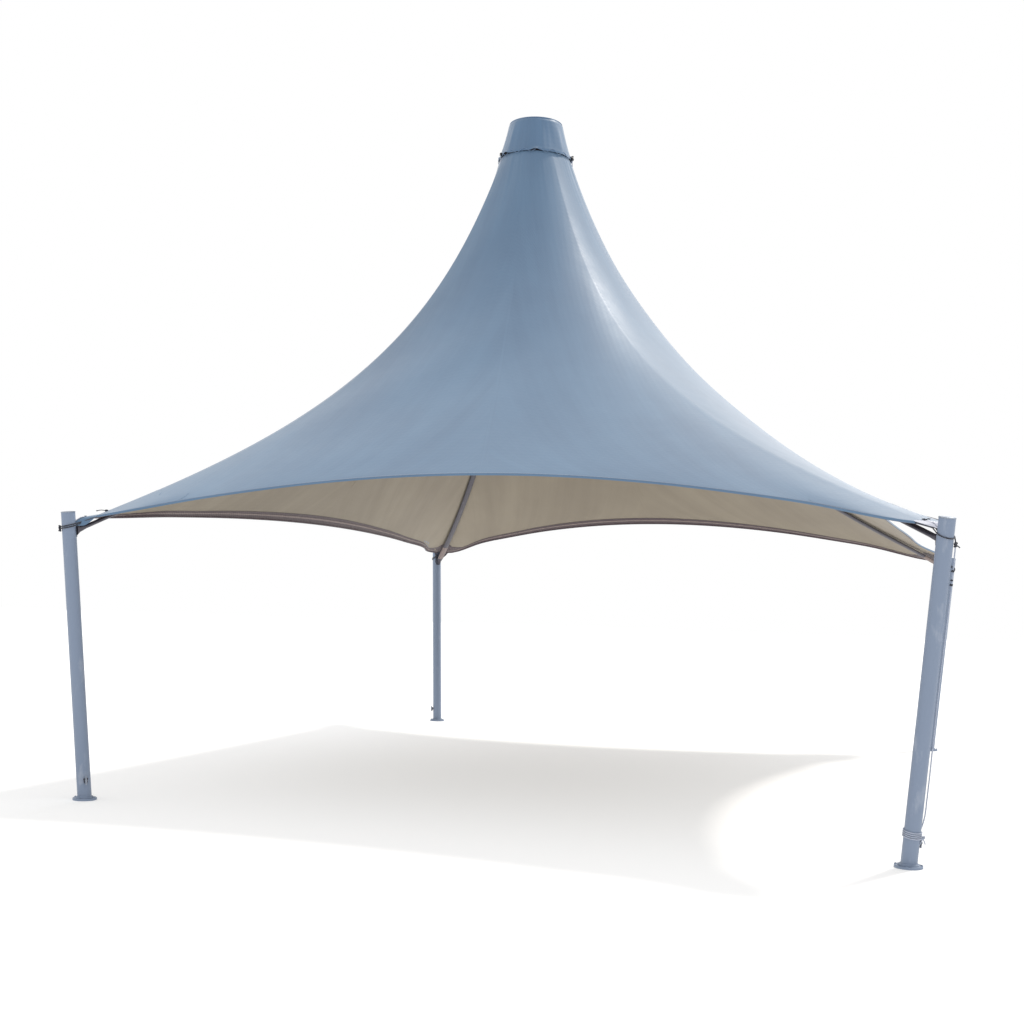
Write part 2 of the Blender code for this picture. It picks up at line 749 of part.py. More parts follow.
def tie_rope(knot):
    """From the lashing's knot down the post's side, then in turns round its foot."""
    post = post_frame(CORNERS["front_right"])
    wrap = (POST_RADIUS + TIE_ROPE_RADIUS + FACET_FIT) / math.cos(math.pi / TIE_STEPS)
    high = TIE_LOW + TIE_TURNS * TIE_PITCH
    stand_off = wrap + TIE_SLACK
    hang = Vector((stand_off * math.cos(TIE_START), stand_off * math.sin(TIE_START), high + TIE_LEAD))
    top = post.inverted() @ knot
    top.z -= KNOT_RADIUS + TIE_ROPE_RADIUS + FACET_FIT
    points = [top.lerp(hang, step / 8.0) for step in range(9)]
    for step in range(1, TIE_TURNS * TIE_STEPS + 1):
        turn = TIE_START + 2.0 * math.pi * step / TIE_STEPS
        height = high - TIE_PITCH * step / TIE_STEPS
        points.append(Vector((wrap * math.cos(turn), wrap * math.sin(turn), height)))
    rope = baked(tube("tie_rope_front_right", [post @ p for p in points], TIE_ROPE_RADIUS, 1))
    finish_object(rope, "pale_rope")


clear_scene()
PARTS = new_collection("conical_gazebo")
CUTTERS = new_collection("cutters")

fabric = solve_net()
fabric_normals = net_normals(fabric)
cloth_face = inner_skin(fabric, fabric_normals)

canopy_panels(fabric, fabric_normals)
plate_frames = {}
knots = {}
for corner_name, corner_angle in CORNERS.items():
    post_and_foot(corner_name, corner_angle)
    tie_cleat(corner_name, corner_angle)
    rafter_and_socket(fabric, fabric_normals, cloth_face, corner_name)
    plate_frames[corner_name] = plate_frame(fabric, corner_name)
    corner_plate(corner_name, plate_frames[corner_name])
    knots[corner_name] = lashing(corner_name, plate_frames[corner_name])
for edge_index in range(len(EDGES)):
    edge_cable(fabric, fabric_normals, edge_index, plate_frames)
crown_frame()
hood()
hood_lacing()
tie_rope(knots["front_right"])
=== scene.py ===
"""The conical gazebo's looks: cloth, bars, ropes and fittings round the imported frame.

Metres, +Z up, in the frame's own axes: the origin is on the ground in the middle of
the four posts and the front faces -Y. The cloth follows the same net of tensions as
the solids, drawn five times finer, and every strip, tape and patch is laid on it.
"""
import sys
import logging
import math
from dataclasses import dataclass, field
from enum import Enum
from typing import Callable, Sequence

import bpy
import numpy as np
from mathutils import Matrix, Vector
from mathutils.bvhtree import BVHTree


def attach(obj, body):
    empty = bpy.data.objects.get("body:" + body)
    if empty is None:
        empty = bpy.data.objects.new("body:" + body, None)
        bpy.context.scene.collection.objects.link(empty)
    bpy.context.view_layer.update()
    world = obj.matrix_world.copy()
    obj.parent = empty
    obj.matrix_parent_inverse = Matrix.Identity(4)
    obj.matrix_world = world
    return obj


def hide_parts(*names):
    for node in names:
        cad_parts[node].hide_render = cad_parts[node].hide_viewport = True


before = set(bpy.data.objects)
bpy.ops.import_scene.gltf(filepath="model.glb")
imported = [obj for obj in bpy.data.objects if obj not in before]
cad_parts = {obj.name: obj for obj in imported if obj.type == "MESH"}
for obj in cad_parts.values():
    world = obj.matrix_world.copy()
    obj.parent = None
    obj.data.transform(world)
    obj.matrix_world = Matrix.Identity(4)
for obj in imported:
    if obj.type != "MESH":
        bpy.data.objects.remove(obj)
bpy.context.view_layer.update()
BODY = "root"
IMAGE_SIZE = 1024                  # pixels, each way
TAU = 2.0 * math.pi
MM = 0.001
STRANDS = 3                        # of every rope
FACING_OUT = Matrix.Rotation(math.pi / 2.0, 4, "Y")    # stands a flat knot up to face along X
BAND_TURN = 20.0                   # radians that a band texture turns over one unit of its scale

log = logging.getLogger("gazebo")

Points = Sequence[Sequence[float]]


# Plan of the gazebo

class Corner(Enum):
    """A corner of the plan, by the ending of its nodes' names and its side along X and Y."""

    BACK_RIGHT = ("back_right", 1, 1)
    BACK_LEFT = ("back_left", -1, 1)
    FRONT_LEFT = ("front_left", -1, -1)
    FRONT_RIGHT = ("front_right", 1, -1)

    @property
    def label(self) -> str:
        """The ending of the corner's node names."""
        return self.value[0]

    @property
    def angle(self) -> float:
        """The corner's direction from the middle, in radians."""
        return math.atan2(self.value[2] * LAYOUT.span_deep, self.value[1] * LAYOUT.span_across)

    @property
    def on_left(self) -> bool:
        """True for the two corners that the crown stands nearer to."""
        return self.value[1] < 0

    @property
    def turn(self) -> Matrix:
        """The turn that brings +X to the corner's direction."""
        return Matrix.Rotation(self.angle, 4, "Z")


class Edge(Enum):
    """An edge of the cloth, by its node name's ending and the corners it runs between."""

    BACK = ("back", Corner.BACK_RIGHT, Corner.BACK_LEFT)
    LEFT = ("left", Corner.BACK_LEFT, Corner.FRONT_LEFT)
    FRONT = ("front", Corner.FRONT_LEFT, Corner.FRONT_RIGHT)
    RIGHT = ("right", Corner.FRONT_RIGHT, Corner.BACK_RIGHT)


@dataclass(frozen=True)
class Layout:
    """The driving sizes that the whole gazebo shares."""

    span_across: float = 7.0           # between the post tops, left to right
    span_deep: float = 8.4             # between the post tops, front to back
    post_height: float = 2.4
    left_post_lean: float = math.radians(5.8)
    right_post_lean: float = math.radians(9.0)
    post_radius: float = 0.05715
    flange_thickness: float = 0.018
    collar_height: float = 0.030
    collar_radius: float = 0.070
    corner_inset: float = 0.22
    corner_height: float = 2.37
    corner_half_width: float = 0.06
    peak_height: float = 6.93
    crown_centre: tuple[float, float] = (-0.82, 0.0)
    ring_radius: float = 0.385
    ring_drop: float = 0.42

    @property
    def top_radius(self) -> float:
        """From the middle to a post's axis at its top."""
        return math.hypot(self.span_across, self.span_deep) / 2.0

    def post_lean(self, corner: Corner) -> float:
        """How far a post leans outwards: the right ones lean more."""
        return self.left_post_lean if corner.on_left else self.right_post_lean

    @property
    def ring_height(self) -> float:
        """Height of the cloth's top edge."""
        return self.peak_height - self.ring_drop

    def foot_place(self, corner: Corner) -> Matrix:
        """The post's foot, X away from the middle and Z upright."""
        foot_radius = self.top_radius - self.post_height * math.tan(self.post_lean(corner))
        return corner.turn @ Matrix.Translation((foot_radius, 0.0, 0.0))

    def post_place(self, corner: Corner) -> Matrix:
        """The post's foot, with Z along the leaning post."""
        return self.foot_place(corner) @ Matrix.Rotation(self.post_lean(corner), 4, "Y")

    def crown_place(self) -> Matrix:
        """The crown's axis on the ground."""
        return Matrix.Translation((*self.crown_centre, 0.0))


LAYOUT = Layout()


# Colour and shader nodes

def linear(code: str) -> tuple[float, float, float, float]:
    """Turns an sRGB hex colour to linear.

    Args:
        code: six hex digits.

    Returns:
        Linear red, green and blue, and an alpha of one.
    """
    channels = []
    for start in (0, 2, 4):
        value = int(code[start:start + 2], 16) / 255.0
        channels.append(value / 12.92 if value <= 0.04045 else ((value + 0.055) / 1.055) ** 2.4)
    return (channels[0], channels[1], channels[2], 1.0)


def connect(tree: bpy.types.NodeTree, node: bpy.types.Node, inputs: dict) -> None:
    """Feeds a node's sockets.

    Args:
        tree: the material's node tree.
        node: the node to feed.
        inputs: sockets by name or number, each with a plain value or another node's output.
    """
    for key, value in inputs.items():
        if isinstance(value, bpy.types.NodeSocket):
            tree.links.new(value, node.inputs[key])
        else:
            node.inputs[key].default_value = value


def add_node(tree: bpy.types.NodeTree, kind: str, links: dict | None = None, **settings) -> bpy.types.Node:
    """Adds a shader node with its settings and links.

    Args:
        tree: the material's node tree.
        kind: the node's type name after ShaderNode.
        links: its sockets by name or number, each with a plain value or another node's output.
        settings: the node's own properties.

    Returns:
        The new node.
    """
    node = tree.nodes.new("ShaderNode" + kind)
    for name, value in settings.items():
        setattr(node, name, value)
    connect(tree, node, links or {})
    return node


def colour_steps(node: bpy.types.Node, steps: Sequence[tuple[float, str]]) -> bpy.types.Node:
    """Sets a colour ramp's stops.

    Args:
        node: the ramp node.
        steps: positions from 0 to 1 with their hex colours.

    Returns:
        The same node.
    """
    stops = node.color_ramp.elements
    while len(stops) < len(steps):
        stops.new(0.5)
    for stop, (position, code) in zip(stops, steps):
        stop.position = position
        stop.color = linear(code)
    return node


def stretched(tree: bpy.types.NodeTree, source: str,
              scale: Sequence[float] = (1.0, 1.0, 1.0)) -> bpy.types.NodeSocket:
    """A texture coordinate, scaled along each axis."""
    coordinates = add_node(tree, "TexCoord")
    mapping = add_node(tree, "Mapping", {"Vector": coordinates.outputs[source], "Scale": tuple(scale)})
    return mapping.outputs["Vector"]


# Finishes

@dataclass(frozen=True)
class Finish:
    """A named material and its main colour."""

    name: str
    colour: str

    def fed(self, tree: bpy.types.NodeTree) -> dict:
        """What feeds the shader's sockets."""
        return {"Base Color": linear(self.colour)}

    def make(self) -> bpy.types.Material:
        """Builds the material, a Principled shader with what this finish feeds it."""
        material = bpy.data.materials.new(self.name)
        material.use_nodes = True
        tree = material.node_tree
        connect(tree, tree.nodes["Principled BSDF"], self.fed(tree))
        return material


@dataclass(frozen=True)
class CoatedWovenCloth(Finish):
    """Polyester cloth, woven and knife-coated with a soft vinyl.

    The coat evens the colour out and gives the broad, low sheen of a marquee roof.
    The threads only show as a faint grid, and hung cloth keeps long faint streaks
    from the way the coat was drawn over it.
    """

    deep: str
    roughness: float = 0.52
    sheen: float = 0.25
    thread: float = TAU * 9.0 * MM # about 57 mm: the real threads are 1 mm apart, too fine to show
    streak: float = 0.35           # spacing of the coating streaks
    bump: float = 0.12

    def fed(self, tree: bpy.types.NodeTree) -> dict:
        """What feeds the shader's sockets."""
        place, cloth = stretched(tree, "Object"), stretched(tree, "UV")
        broad = add_node(tree, "TexNoise", {"Vector": place, "Scale": 0.55, "Detail": 4.0, "Roughness": 0.6})
        streaks = add_node(tree, "TexNoise", {
            "Vector": stretched(tree, "UV", (1.0 / self.streak, 0.22, 1.0)), "Scale": 1.0, "Detail": 5.0,
            "Roughness": 0.65,
        })
        both = add_node(tree, "Math", {0: broad.outputs["Fac"], 1: streaks.outputs["Fac"]}, operation="ADD")
        share = add_node(tree, "MapRange", {"Value": both.outputs[0], "From Min": 0.75, "From Max": 1.25})
        ramp = colour_steps(
            add_node(tree, "ValToRGB", {"Fac": share.outputs[0]}), ((0.0, self.deep), (1.0, self.colour)))
        warp, weft = (add_node(
            tree, "TexWave",
            {"Vector": cloth, "Scale": TAU / (self.thread * BAND_TURN), "Distortion": 0.4, "Detail": 1.0},
            wave_type="BANDS", bands_direction=axis,
        ) for axis in ("X", "Y"))
        weave = add_node(tree, "Math", {0: warp.outputs["Fac"], 1: weft.outputs["Fac"]}, operation="MULTIPLY")
        dimples = add_node(
            tree, "TexNoise", {"Vector": place, "Scale": 6.0, "Detail": 6.0, "Roughness": 0.55})
        relief = add_node(tree, "Math", {0: weave.outputs[0], 1: 0.25, 2: dimples.outputs["Fac"]},
                          operation="MULTIPLY_ADD")
        bump = add_node(tree, "Bump", {"Height": relief.outputs[0], "Strength": self.bump, "Distance": 0.01})
        rough = add_node(tree, "MapRange", {
            "Value": dimples.outputs["Fac"], "To Min": self.roughness - 0.06, "To Max": self.roughness + 0.10,
        })
        return {
            "Base Color": ramp.outputs["Color"], "Normal": bump.outputs["Normal"],
            "Roughness": rough.outputs[0], "IOR": 1.52, "Sheen Weight": self.sheen, "Sheen Roughness": 0.45,
        }


@dataclass(frozen=True)
class PowderCoatedSteel(Finish):
    """Steel tube, blasted and powder-coated.

    The baked powder leaves a fine orange peel that softens every highlight, and it
    rubs a little paler in scattered patches.
    """

    worn: str
    roughness: float = 0.42
    peel: float = 5.0 * MM         # drawn coarser than the real 1.5 mm to show

    def fed(self, tree: bpy.types.NodeTree) -> dict:
        """What feeds the shader's sockets."""
        drift = add_node(tree, "TexNoise", {
            "Vector": stretched(tree, "Object", (1.0, 1.0, 0.35)), "Scale": 9.0, "Detail": 8.0,
            "Roughness": 0.62,
        })
        ramp = colour_steps(
            add_node(tree, "ValToRGB", {"Fac": drift.outputs["Fac"]}),
            ((0.0, self.colour), (0.58, self.colour), (0.72, self.worn)))
        peel = add_node(tree, "TexNoise", {
            "Vector": stretched(tree, "Object"), "Scale": 1.0 / self.peel, "Detail": 2.0,
        })
        bump = add_node(tree, "Bump", {"Height": peel.outputs["Fac"], "Strength": 0.10, "Distance": 0.001})
        rough = add_node(tree, "MapRange", {
            "Value": drift.outputs["Fac"], "To Min": self.roughness - 0.10, "To Max": self.roughness + 0.18,
        })
        return {
            "Base Color": ramp.outputs["Color"], "Normal": bump.outputs["Normal"],
            "Roughness": rough.outputs[0],
        }


@dataclass(frozen=True)
class HotDipGalvanisedSteel(Finish):
    """Steel dipped in molten zinc and left to weather.

    The zinc freezes in pale and dark crystals and dulls to a soft grey, with a
    darker bloom in scattered patches.
    """

    dark: str
    crystal: float = 9.0 * MM
    roughness: float = 0.48

    def fed(self, tree: bpy.types.NodeTree) -> dict:
        """What feeds the shader's sockets."""
        place = stretched(tree, "Object")
        crystals = add_node(tree, "TexVoronoi", {"Vector": place, "Scale": 1.0 / self.crystal})
        bloom = add_node(tree, "TexNoise", {"Vector": place, "Scale": 14.0, "Detail": 7.0, "Roughness": 0.6})
        share = add_node(tree, "Math", {0: crystals.outputs["Color"], 1: 0.35, 2: bloom.outputs["Fac"]},
                         operation="MULTIPLY_ADD")
        ramp = colour_steps(
            add_node(tree, "ValToRGB", {"Fac": share.outputs[0]}), ((0.35, self.dark), (0.95, self.colour)))
        rough = add_node(tree, "MapRange", {
            "Value": crystals.outputs["Color"], "To Min": self.roughness - 0.12,
            "To Max": self.roughness + 0.15,
        })
        bump = add_node(tree, "Bump", {"Height": bloom.outputs["Fac"], "Strength": 0.15, "Distance": 0.0015})
        return {
            "Base Color": ramp.outputs["Color"], "Normal": bump.outputs["Normal"],
            "Roughness": rough.outputs[0], "Metallic": 0.85,
        }


@dataclass(frozen=True)
class WovenWebbing(Finish):
    """Polyester webbing from a needle loom.

    Its ribs run across the strap, and each row of warp catches its own line of light.
    """

    deep: str
    rib: float = TAU * 6.0 * MM    # about 38 mm, drawn coarser than the real 1.6 mm to show
    roughness: float = 0.78

    def fed(self, tree: bpy.types.NodeTree) -> dict:
        """What feeds the shader's sockets."""
        ribs = add_node(
            tree, "TexWave",
            {"Vector": stretched(tree, "UV"), "Scale": TAU / (self.rib * BAND_TURN), "Distortion": 0.6,
             "Detail": 2.0},
            wave_type="BANDS", bands_direction="Y",
        )
        fibre = add_node(tree, "TexNoise", {
            "Vector": stretched(tree, "Object"), "Scale": 22.0, "Detail": 6.0, "Roughness": 0.7,
        })
        share = add_node(tree, "Math", {0: ribs.outputs["Fac"], 1: 0.35, 2: fibre.outputs["Fac"]},
                         operation="MULTIPLY_ADD")
        ramp = colour_steps(
            add_node(tree, "ValToRGB", {"Fac": share.outputs[0]}), ((0.30, self.deep), (0.95, self.colour)))
        bump = add_node(tree, "Bump", {"Height": share.outputs[0], "Strength": 0.35, "Distance": 0.002})
        return {
            "Base Color": ramp.outputs["Color"], "Normal": bump.outputs["Normal"],
            "Roughness": self.roughness, "Sheen Weight": 0.2,
        }


@dataclass(frozen=True)
class TwistedRope(Finish):
    """Three-strand polyester rope.

    The strands are modelled; the finish adds the fine yarns that run round each one.
    """

    deep: str
    yarn: float = 2.5 * MM

    def fed(self, tree: bpy.types.NodeTree) -> dict:
        """What feeds the shader's sockets."""
        yarns = add_node(tree, "TexNoise", {
            "Vector": stretched(tree, "Object", (1.0, 1.0, 0.4)), "Scale": 1.0 / self.yarn, "Detail": 3.0,
        })
        ramp = colour_steps(
            add_node(tree, "ValToRGB", {"Fac": yarns.outputs["Fac"]}),
            ((0.30, self.deep), (0.70, self.colour)))
        bump = add_node(tree, "Bump", {"Height": yarns.outputs["Fac"], "Strength": 0.5, "Distance": 0.001})
        return {
            "Base Color": ramp.outputs["Color"], "Normal": bump.outputs["Normal"], "Roughness": 0.85,
            "Sheen Weight": 0.3,
        }


@dataclass(frozen=True)
class MouldedNylon(Finish):
    """Injection-moulded nylon, for toggles and buckles.

    It has a fine even texture from the tool and a soft, slightly waxy light.
    """

    roughness: float = 0.38
    grain: float = MM / 0.9        # coarser than the real 0.1 mm to show

    def fed(self, tree: bpy.types.NodeTree) -> dict:
        """What feeds the shader's sockets."""
        grain = add_node(tree, "TexNoise", {
            "Vector": stretched(tree, "Object"), "Scale": 1.0 / self.grain, "Detail": 2.0,
        })
        bump = add_node(tree, "Bump", {"Height": grain.outputs["Fac"], "Strength": 0.15, "Distance": 0.0004})
        return {
            **super().fed(tree), "Normal": bump.outputs["Normal"], "Roughness": self.roughness, "IOR": 1.53,
        }


@dataclass(frozen=True)
class MattPaint(Finish):
    """Flat white paint on a studio floor, which glows a little so that it fades into the background."""

    glow: float = 0.38

    def fed(self, tree: bpy.types.NodeTree) -> dict:
        """What feeds the shader's sockets."""
        return {
            **super().fed(tree), "Roughness": 0.9, "Specular IOR Level": 0.0,
            "Emission Color": linear("ffffff"), "Emission Strength": self.glow,
        }


class Finishes:
    """Every finish on the gazebo, each built once."""

    def __init__(self) -> None:
        """Builds them."""
        # The outer and hood cloth's blue-grey is painted shade: white cloth as the blue sky lights it. The
        # inner face's beige is painted warm light coming through the cloth and up from the ground.
        self.outer_cloth = CoatedWovenCloth(
            "coated_woven_cloth_outer", "567491", "4c6885", roughness=0.45, sheen=0.35).make()
        self.inner_cloth = CoatedWovenCloth(
            "coated_woven_cloth_inner", "908777", "82796b", roughness=0.66, sheen=0.1).make()
        self.hood_cloth = CoatedWovenCloth(
            "coated_woven_cloth_hood", "52708f", "466381", roughness=0.45, sheen=0.35, streak=0.12).make()
        self.hem = WovenWebbing("woven_polyester_hem", "5a4c50", "352b30").make()
        self.hem_fold = WovenWebbing("woven_polyester_hem_fold", "8a7c78", "6a5d5c").make()
        # The strap's near-white is painted sunlight, taken from the sunlit webbing at the front right.
        self.strap = WovenWebbing("woven_polyester_strap", "d5d6e0", "a9adbd").make()
        self.dark_rope = TwistedRope("twisted_polyester_rope_dark", "2a3040", "12141c").make()
        self.blue_rope = TwistedRope("twisted_polyester_rope_blue", "7088a6", "55708f").make()
        self.pale_rope = TwistedRope("twisted_polyester_rope_pale", "b6becd", "848da1").make()
        # The posts' blue-grey is painted shade: pale paint tinted by the blue sky's light. The paler worn
        # tone is random wear.
        self.post_steel = PowderCoatedSteel("powder_coated_steel_post", "77859b", "909aab").make()
        self.rafter_steel = PowderCoatedSteel("powder_coated_steel_rafter", "44424c", "5b5962").make()
        self.dark_steel = PowderCoatedSteel("powder_coated_steel_fitting", "3b3f4c", "5b5f6b").make()
        self.zinc = HotDipGalvanisedSteel("hot_dip_galvanised_steel", "a9b0ba", "767e8c").make()
        self.nylon = MouldedNylon("moulded_nylon_black", "17181b").make()


# Shapes

def unit(vectors: np.ndarray) -> np.ndarray:
    """Vectors scaled to a length of one."""
    lengths = np.linalg.norm(vectors, axis=-1, keepdims=True)
    return vectors / np.maximum(lengths, 1e-12)


def bell(away: np.ndarray, width: float) -> np.ndarray:
    """A smooth bump: one in its middle, falling off over a width."""
    return np.exp(-(away / width) ** 2)


def waves(turns: np.ndarray, kinds: Sequence[tuple[float, float, float]]) -> np.ndarray:
    """A sum of waves round a ring, each given by its number of crests, its start and its share."""
    return sum(share * np.cos(count * turns + start) for count, start, share in kinds)


def lengths_along(path: np.ndarray) -> np.ndarray:
    """The distance of each point of a path from its start."""
    return np.concatenate([[0.0], np.cumsum(np.linalg.norm(np.diff(path, axis=0), axis=1))])


def point_at(distance: float, lengths: np.ndarray, line: np.ndarray) -> np.ndarray:
    """The point at a distance along a line whose points' lengths are known."""
    return np.array([np.interp(distance, lengths, line[:, axis]) for axis in range(3)])


def grid_marks(grid: np.ndarray) -> np.ndarray:
    """Texture places over a grid: the distances across its columns and down its rows."""
    marks = np.zeros((*grid.shape[:2], 2))
    marks[:, 1:, 0] = np.cumsum(np.linalg.norm(np.diff(grid, axis=1), axis=2), axis=1)
    marks[1:, :, 1] = np.cumsum(np.linalg.norm(np.diff(grid, axis=0), axis=2), axis=0)
    return marks


def band_marks(across: np.ndarray, along: np.ndarray) -> np.ndarray:
    """Texture places from the distances across a band and along it."""
    return np.stack(np.broadcast_arrays(across[None, :], along[:, None]), axis=2)


def axes_place(x: Vector, y: Vector, z: Vector, origin: Sequence[float]) -> Matrix:
    """The place with these axes and this origin."""
    place = Matrix.Identity(4)
    for index, column in enumerate((x, y, z, origin)):
        place.col[index][:3] = column
    return place


def ring_path(radius: float, level: float, steps: int) -> np.ndarray:
    """A level ring about Z, its last point on its first."""
    turns = np.linspace(0.0, TAU, steps + 1)
    return np.stack([radius * np.cos(turns), radius * np.sin(turns), np.full_like(turns, level)], axis=1)


def smooth_path(points: Points, steps: int) -> np.ndarray:
    """A rounded path through points.

    Args:
        points: the points that the path passes through.
        steps: how many steps lie between one point and the next.

    Returns:
        The path's points.
    """
    anchors = np.array([tuple(point) for point in points], float)
    padded = np.vstack([2.0 * anchors[0] - anchors[1], anchors, 2.0 * anchors[-1] - anchors[-2]])
    path = []
    for index in range(len(anchors) - 1):
        a, b, c, d = padded[index:index + 4]
        for step in range(steps):
            t = step / steps
            path.append(0.5 * (2.0 * b + (c - a) * t + (2.0 * a - 5.0 * b + 4.0 * c - d) * t * t
                               + (3.0 * b - a - 3.0 * c + d) * t ** 3))
    path.append(anchors[-1])
    return np.array(path)


def carried_sides(path: np.ndarray) -> tuple[np.ndarray, np.ndarray]:
    """Directions along a path and across it, carried along without twisting.

    Args:
        path: the path's points.

    Returns:
        The path's directions and the directions across them.
    """
    runs = unit(np.gradient(path, axis=0))
    side = np.array((0.0, 0.0, 1.0))
    if np.linalg.norm(np.cross(side, runs[0])) < 0.05:
        side = np.array((1.0, 0.0, 0.0))
    sides = np.zeros_like(path)
    for index, run in enumerate(runs):
        side = side - run * side.dot(run)
        side = side / np.linalg.norm(side)
        sides[index] = side
    return runs, sides


class Shape:
    """Points, faces and finishes of one piece, put together bit by bit."""

    def __init__(self) -> None:
        """Starts with nothing in it."""
        self.points: list[np.ndarray] = []
        self.faces: list[tuple[int, ...]] = []
        self.slots: list[int] = []
        self.corners: list[tuple[float, float]] = []
        self.count = 0

    def _add_points(self, points: np.ndarray, place: Matrix | None) -> int:
        """Stores points, moved to their place, and gives the first one's number."""
        points = points.reshape(-1, 3)
        if place is not None:
            turn = np.array(place.to_3x3())
            points = points @ turn.T + np.array(place.translation)
        first = self.count
        self.points.append(points)
        self.count += len(points)
        return first

    def add_grid(self, grid: np.ndarray, marks: np.ndarray, slot: int = 0, flip: bool = False,
                 around: bool = False, place: Matrix | None = None) -> int:
        """Adds a surface over a grid of points.

        Args:
            grid: points by row and column.
            marks: texture places in metres, with one more column where the grid closes.
            slot: number of the finish.
            flip: True to face the other way.
            around: True where the last column joins the first.
            place: where the grid goes.

        Returns:
            The number of the grid's first point.
        """
        rows, columns = grid.shape[:2]
        first = self._add_points(grid, place)
        for r in range(rows - 1):
            for c in range(columns if around else columns - 1):
                beside = (c + 1) % columns
                ring = [
                    (first + r * columns + c, marks[r, c]),
                    (first + (r + 1) * columns + c, marks[r + 1, c]),
                    (first + (r + 1) * columns + beside, marks[r + 1, c + 1]),
                    (first + r * columns + beside, marks[r, c + 1]),
                ]
                if flip:
                    ring.reverse()
                self.faces.append(tuple(number for number, _ in ring))
                self.corners.extend((mark[0], mark[1]) for _, mark in ring)
                self.slots.append(slot)
        return first

    def add_face(self, numbers: Sequence[int], slot: int) -> None:
        """Adds one face over points that are already there."""
        self.faces.append(tuple(numbers))
        self.corners.extend((0.0, 0.0) for _ in numbers)
        self.slots.append(slot)

    def add_sheet(self, outer: np.ndarray, inner: np.ndarray, marks: np.ndarray, slot: int = 0,
                  inner_slot: int | None = None, around: bool = False, place: Matrix | None = None) -> None:
        """Adds a closed sheet between an outer and an inner grid.

        Args:
            outer: points of the face seen with rows down and columns to the right.
            inner: points of the other face, in the same order.
            marks: texture places in metres.
            slot: number of the outer finish.
            inner_slot: number of the inner finish, if it is another.
            around: True where the last column joins the first.
            place: where the sheet goes.
        """
        rows, columns = outer.shape[:2]
        top = self.add_grid(outer, marks, slot, False, around, place)
        bottom = self.add_grid(inner, marks, slot if inner_slot is None else inner_slot, True, around, place)
        if around:
            rims = [[(0, c) for c in range(columns)][::-1], [(rows - 1, c) for c in range(columns)]]
        else:
            rims = [[(r, 0) for r in range(rows - 1)] + [(rows - 1, c) for c in range(columns - 1)]
                    + [(r, columns - 1) for r in range(rows - 1, 0, -1)]
                    + [(0, c) for c in range(columns - 1, 0, -1)]]
        for rim in rims:
            for (r1, c1), (r2, c2) in zip(rim, rim[1:] + rim[:1]):
                here, there = r1 * columns + c1, r2 * columns + c2
                self.add_face((top + there, top + here, bottom + here, bottom + there), slot)

    def _add_rings(self, rings: np.ndarray, marks: np.ndarray, slot: int, flip: bool,
                   place: Matrix | None) -> None:
        """Joins rings of points one after another, with a face over each end."""
        rows, sides = rings.shape[:2]
        first = self.add_grid(rings, marks, slot, flip, True, place)
        start = [first + side for side in range(sides)]
        end = [number + (rows - 1) * sides for number in start]
        self.add_face(start[::-1] if flip else start, slot)
        self.add_face(end if flip else end[::-1], slot)

    def add_tube(self, path: np.ndarray, radius: float | np.ndarray, sides: int = 12, slot: int = 0,
                 lay: float = 0.0, place: Matrix | None = None) -> None:
        """Adds a round bar or a twisted rope along a path, with closed ends.

        Args:
            path: the middle line.
            radius: one radius, or one for each point.
            sides: number of sides.
            slot: number of the finish.
            lay: length in which a rope's strand goes once round, or 0 for a plain bar.
            place: where the path goes.
        """
        path = np.array(path, float)
        runs, across = carried_sides(path)
        other = np.cross(runs, across)
        length = lengths_along(path)
        radii = np.full(len(path), radius) if np.isscalar(radius) else np.asarray(radius)
        angles = TAU * np.arange(sides) / sides
        swell = np.ones((len(path), sides))
        if lay:
            swell = 0.90 + 0.10 * np.cos(STRANDS * (angles[None, :] - TAU * length[:, None] / lay))
        spokes = (across[:, None, :] * np.cos(angles)[None, :, None]
                  + other[:, None, :] * np.sin(angles)[None, :, None])
        rings = path[:, None, :] + (radii[:, None] * swell)[:, :, None] * spokes
        marks = band_marks(radii.max() * TAU * np.arange(sides + 1) / sides, length)
        self._add_rings(rings, marks, slot, True, place)

    def add_knot(self, size: float, radius: float, place: Matrix, steps: int = 48, sides: int = 12,
                 lay: float = 0.0) -> None:
        """Adds an overhand knot pulled tight.

        Args:
            size: half of the knot's width.
            radius: of the cord.
            place: where the knot's middle goes.
            steps: number of points round it.
            sides: number of sides of the cord.
            lay: length in which a rope's strand goes once round, or 0 for a plain cord.
        """
        turns = np.linspace(0.0, TAU, steps + 1)
        path = np.stack([
            np.sin(turns) + 2.0 * np.sin(2.0 * turns),
            np.cos(turns) - 2.0 * np.cos(2.0 * turns),
            -1.6 * np.sin(3.0 * turns),
        ], axis=1)
        self.add_tube(path * size / 3.4, radius, sides, 0, lay, place)

    def add_oval(self, path: np.ndarray, facing: np.ndarray, half_width: np.ndarray,
                 half_thickness: np.ndarray, sides: int = 28) -> None:
        """Adds a flattened bar along a path, with closed ends.

        Args:
            path: the middle line.
            facing: the direction that its flat side looks in, at each point.
            half_width: half of its width at each point.
            half_thickness: half of its thickness at each point.
            sides: number of sides.
        """
        across = unit(np.cross(facing, unit(np.gradient(path, axis=0))))
        angles = TAU * np.arange(sides) / sides
        wide, deep = half_width[:, None] * np.cos(angles), half_thickness[:, None] * np.sin(angles)
        rings = (path[:, None, :] + across[:, None, :] * wide[:, :, None]
                 + facing[:, None, :] * deep[:, :, None])
        marks = band_marks(half_width.max() * 4.4 * np.arange(sides + 1) / sides, lengths_along(path))
        self._add_rings(rings, marks, 0, True, None)

